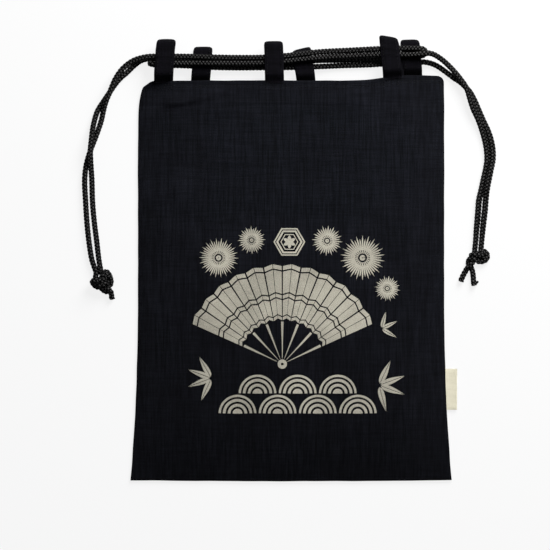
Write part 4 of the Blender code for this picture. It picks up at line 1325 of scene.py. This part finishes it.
def print_fan():
    """A folding fan: pleats with a line down each, a banded leaf, ribs and a rivet."""
    ink = Inked()
    leaf_start = FAN_RADIUS - FAN_LEAF_DEPTH
    width = (FAN_END - FAN_START - (FAN_PLEATS - 1) * FAN_PLEAT_GAP) / FAN_PLEATS
    for i in range(FAN_PLEATS):
        low = FAN_START + i * (width + FAN_PLEAT_GAP)
        for part, peak in ((0, FAN_PLEAT_PEAK), (1, -FAN_PLEAT_PEAK)):
            a = low + part * (width / 2 + FAN_PLEAT_FOLD / 2)
            b = a + width / 2 - FAN_PLEAT_FOLD / 2

            def edge(radius, low=a, high=b, rise=peak):
                return lambda angle: radius + rise * (2 * (angle - low) / (high - low) - 1)

            for near, far in FAN_BANDS:
                steps = max(int((far - near) / 0.003), 1)
                ink.sector(FAN_PIVOT, edge(leaf_start + near), edge(leaf_start + far), a, b, steps, 2)
    ink.lay("fan_leaf_ink", "print_fan_leaf")
    ink = Inked()
    gap = (FAN_END - FAN_START - FAN_RIBS * FAN_RIB_WIDTH) / (FAN_RIBS - 1)
    near, far = FAN_RIVET_RADIUS + 0.0008, leaf_start - 0.0020
    for i in range(FAN_RIBS):
        low = FAN_START + i * (FAN_RIB_WIDTH + gap)
        ink.sector(FAN_PIVOT, near, far, low, low + FAN_RIB_WIDTH, 9, 1)
    ink.disc(FAN_PIVOT, 0.0012, FAN_RIVET_RADIUS, 10)
    ink.lay("fan_ribs_ink", "print_fan_ribs")


def print_waves():
    """Wave scales, each a set of half rings."""
    ink = Inked()
    for centre in WAVES:
        for near, far in WAVE_BANDS:
            near, far = near * WAVE_RADIUS + 0.0002, far * WAVE_RADIUS
            ink.sector(centre, near, far, 0.02, pi - 0.02, 2, 22)
    ink.lay("waves_ink", *[f"print_wave_{i + 1}" for i in range(len(WAVES))])


def print_pines():
    """Round pine tufts: straight needles of two lengths spread from small middles."""
    ink = Inked()
    for k, (x, y, radius) in enumerate(PINES):
        count = 44 if radius > 0.015 else 32
        for needle in range(count):
            angle = 2 * pi * (needle + 0.3 * k) / count
            way = (cos(angle), sin(angle))
            near = 0.20 * radius if needle % 2 else 0.34 * radius
            far = radius * (1.0 if needle % 2 else 0.86)
            start = (x + near * way[0], y + near * way[1])
            ink.stroke(start, way, far - near, 2.9 * radius / count, 0.35, 4)
        ink.disc((x, y), 0.0004, 0.13 * radius, 8)
    ink.lay("pines_ink", *[f"print_pine_{i + 1}" for i in range(len(PINES))])


def print_hexagon():
    """A hexagon of three nested rings round a six-spoked middle."""
    ink = Inked()
    sixth = pi / 3

    def flat_sided(share):
        return lambda a: HEXAGON_RADIUS * share * cos(sixth / 2) / cos(a % sixth - sixth / 2)

    for near, far in HEXAGON_RINGS:
        for k in range(6):
            start, stop = k * sixth + 1e-4, (k + 1) * sixth - 1e-4
            ink.sector(HEXAGON_CENTRE, flat_sided(near), flat_sided(far), start, stop, 1, 6)
    for k in range(6):
        way = (cos(k * sixth + sixth / 2), sin(k * sixth + sixth / 2))
        ink.stroke(HEXAGON_CENTRE, way, HEXAGON_RADIUS * 0.42, 0.0030, 0.7, 5)
    ink.lay("hexagon_ink", "print_hexagon")


def print_leaves():
    """Sprays of bamboo leaves, each leaf in two halves beside its vein."""
    ink = Inked()
    for x, y, length, directions in LEAF_SPRAYS:
        for degrees in directions:
            way = Vector((cos(radians(degrees)), sin(radians(degrees))))
            side = Vector((-way.y, way.x))
            for half in (1, -1):

                def place(u, v):
                    fat = 0.115 * length * sin(pi * v**0.62) ** 0.9
                    vein = min(0.00022, fat * 0.4)
                    p = way * length * (0.07 + 0.93 * v) + side * half * (vein + (fat - vein) * u)
                    return x + p.x, y + p.y

                ink.patch(place, 2, 12)
    ink.lay("leaves_ink", *[f"print_leaf_spray_{i + 1}" for i in range(len(LEAF_SPRAYS))])


make_camera()
make_room()
BRAID = braid_tree()
LEFT_PATH = make_braid(
    "braid_left",
    LEFT_ROUTE,
    LEFT_TAILS,
    nubs=[],
    centre=(-0.1596, -0.0006),
    tilt=radians(-20),
    roll=radians(270),
    mirror=-1,
    nodes_replaced=("cord_left", "knot_left"),
)
RIGHT_PATH = make_braid(
    "braid_right",
    RIGHT_ROUTE,
    RIGHT_TAILS,
    nubs=[(0.1588, -0.0020, 0.0016)],
    centre=(0.1569, 0.0168),
    tilt=radians(11),
    roll=radians(180),
    mirror=1,
    nodes_replaced=("cord_right", "knot_right"),
)
STITCHES = stitch_tree()
make_front()
make_back()
strap_rows = make_straps()
make_stitches("hem_stitches", hem_rows(), pitch=0.0027, length=0.0020, thickness=0.00055)
make_stitches("strap_stitches", strap_rows, pitch=0.0025, length=0.0018, thickness=0.00050)
make_tag()
print_fan()
print_waves()
print_pines()
print_hexagon()
print_leaves()

bpy.context.scene.view_settings.view_transform = "Standard"
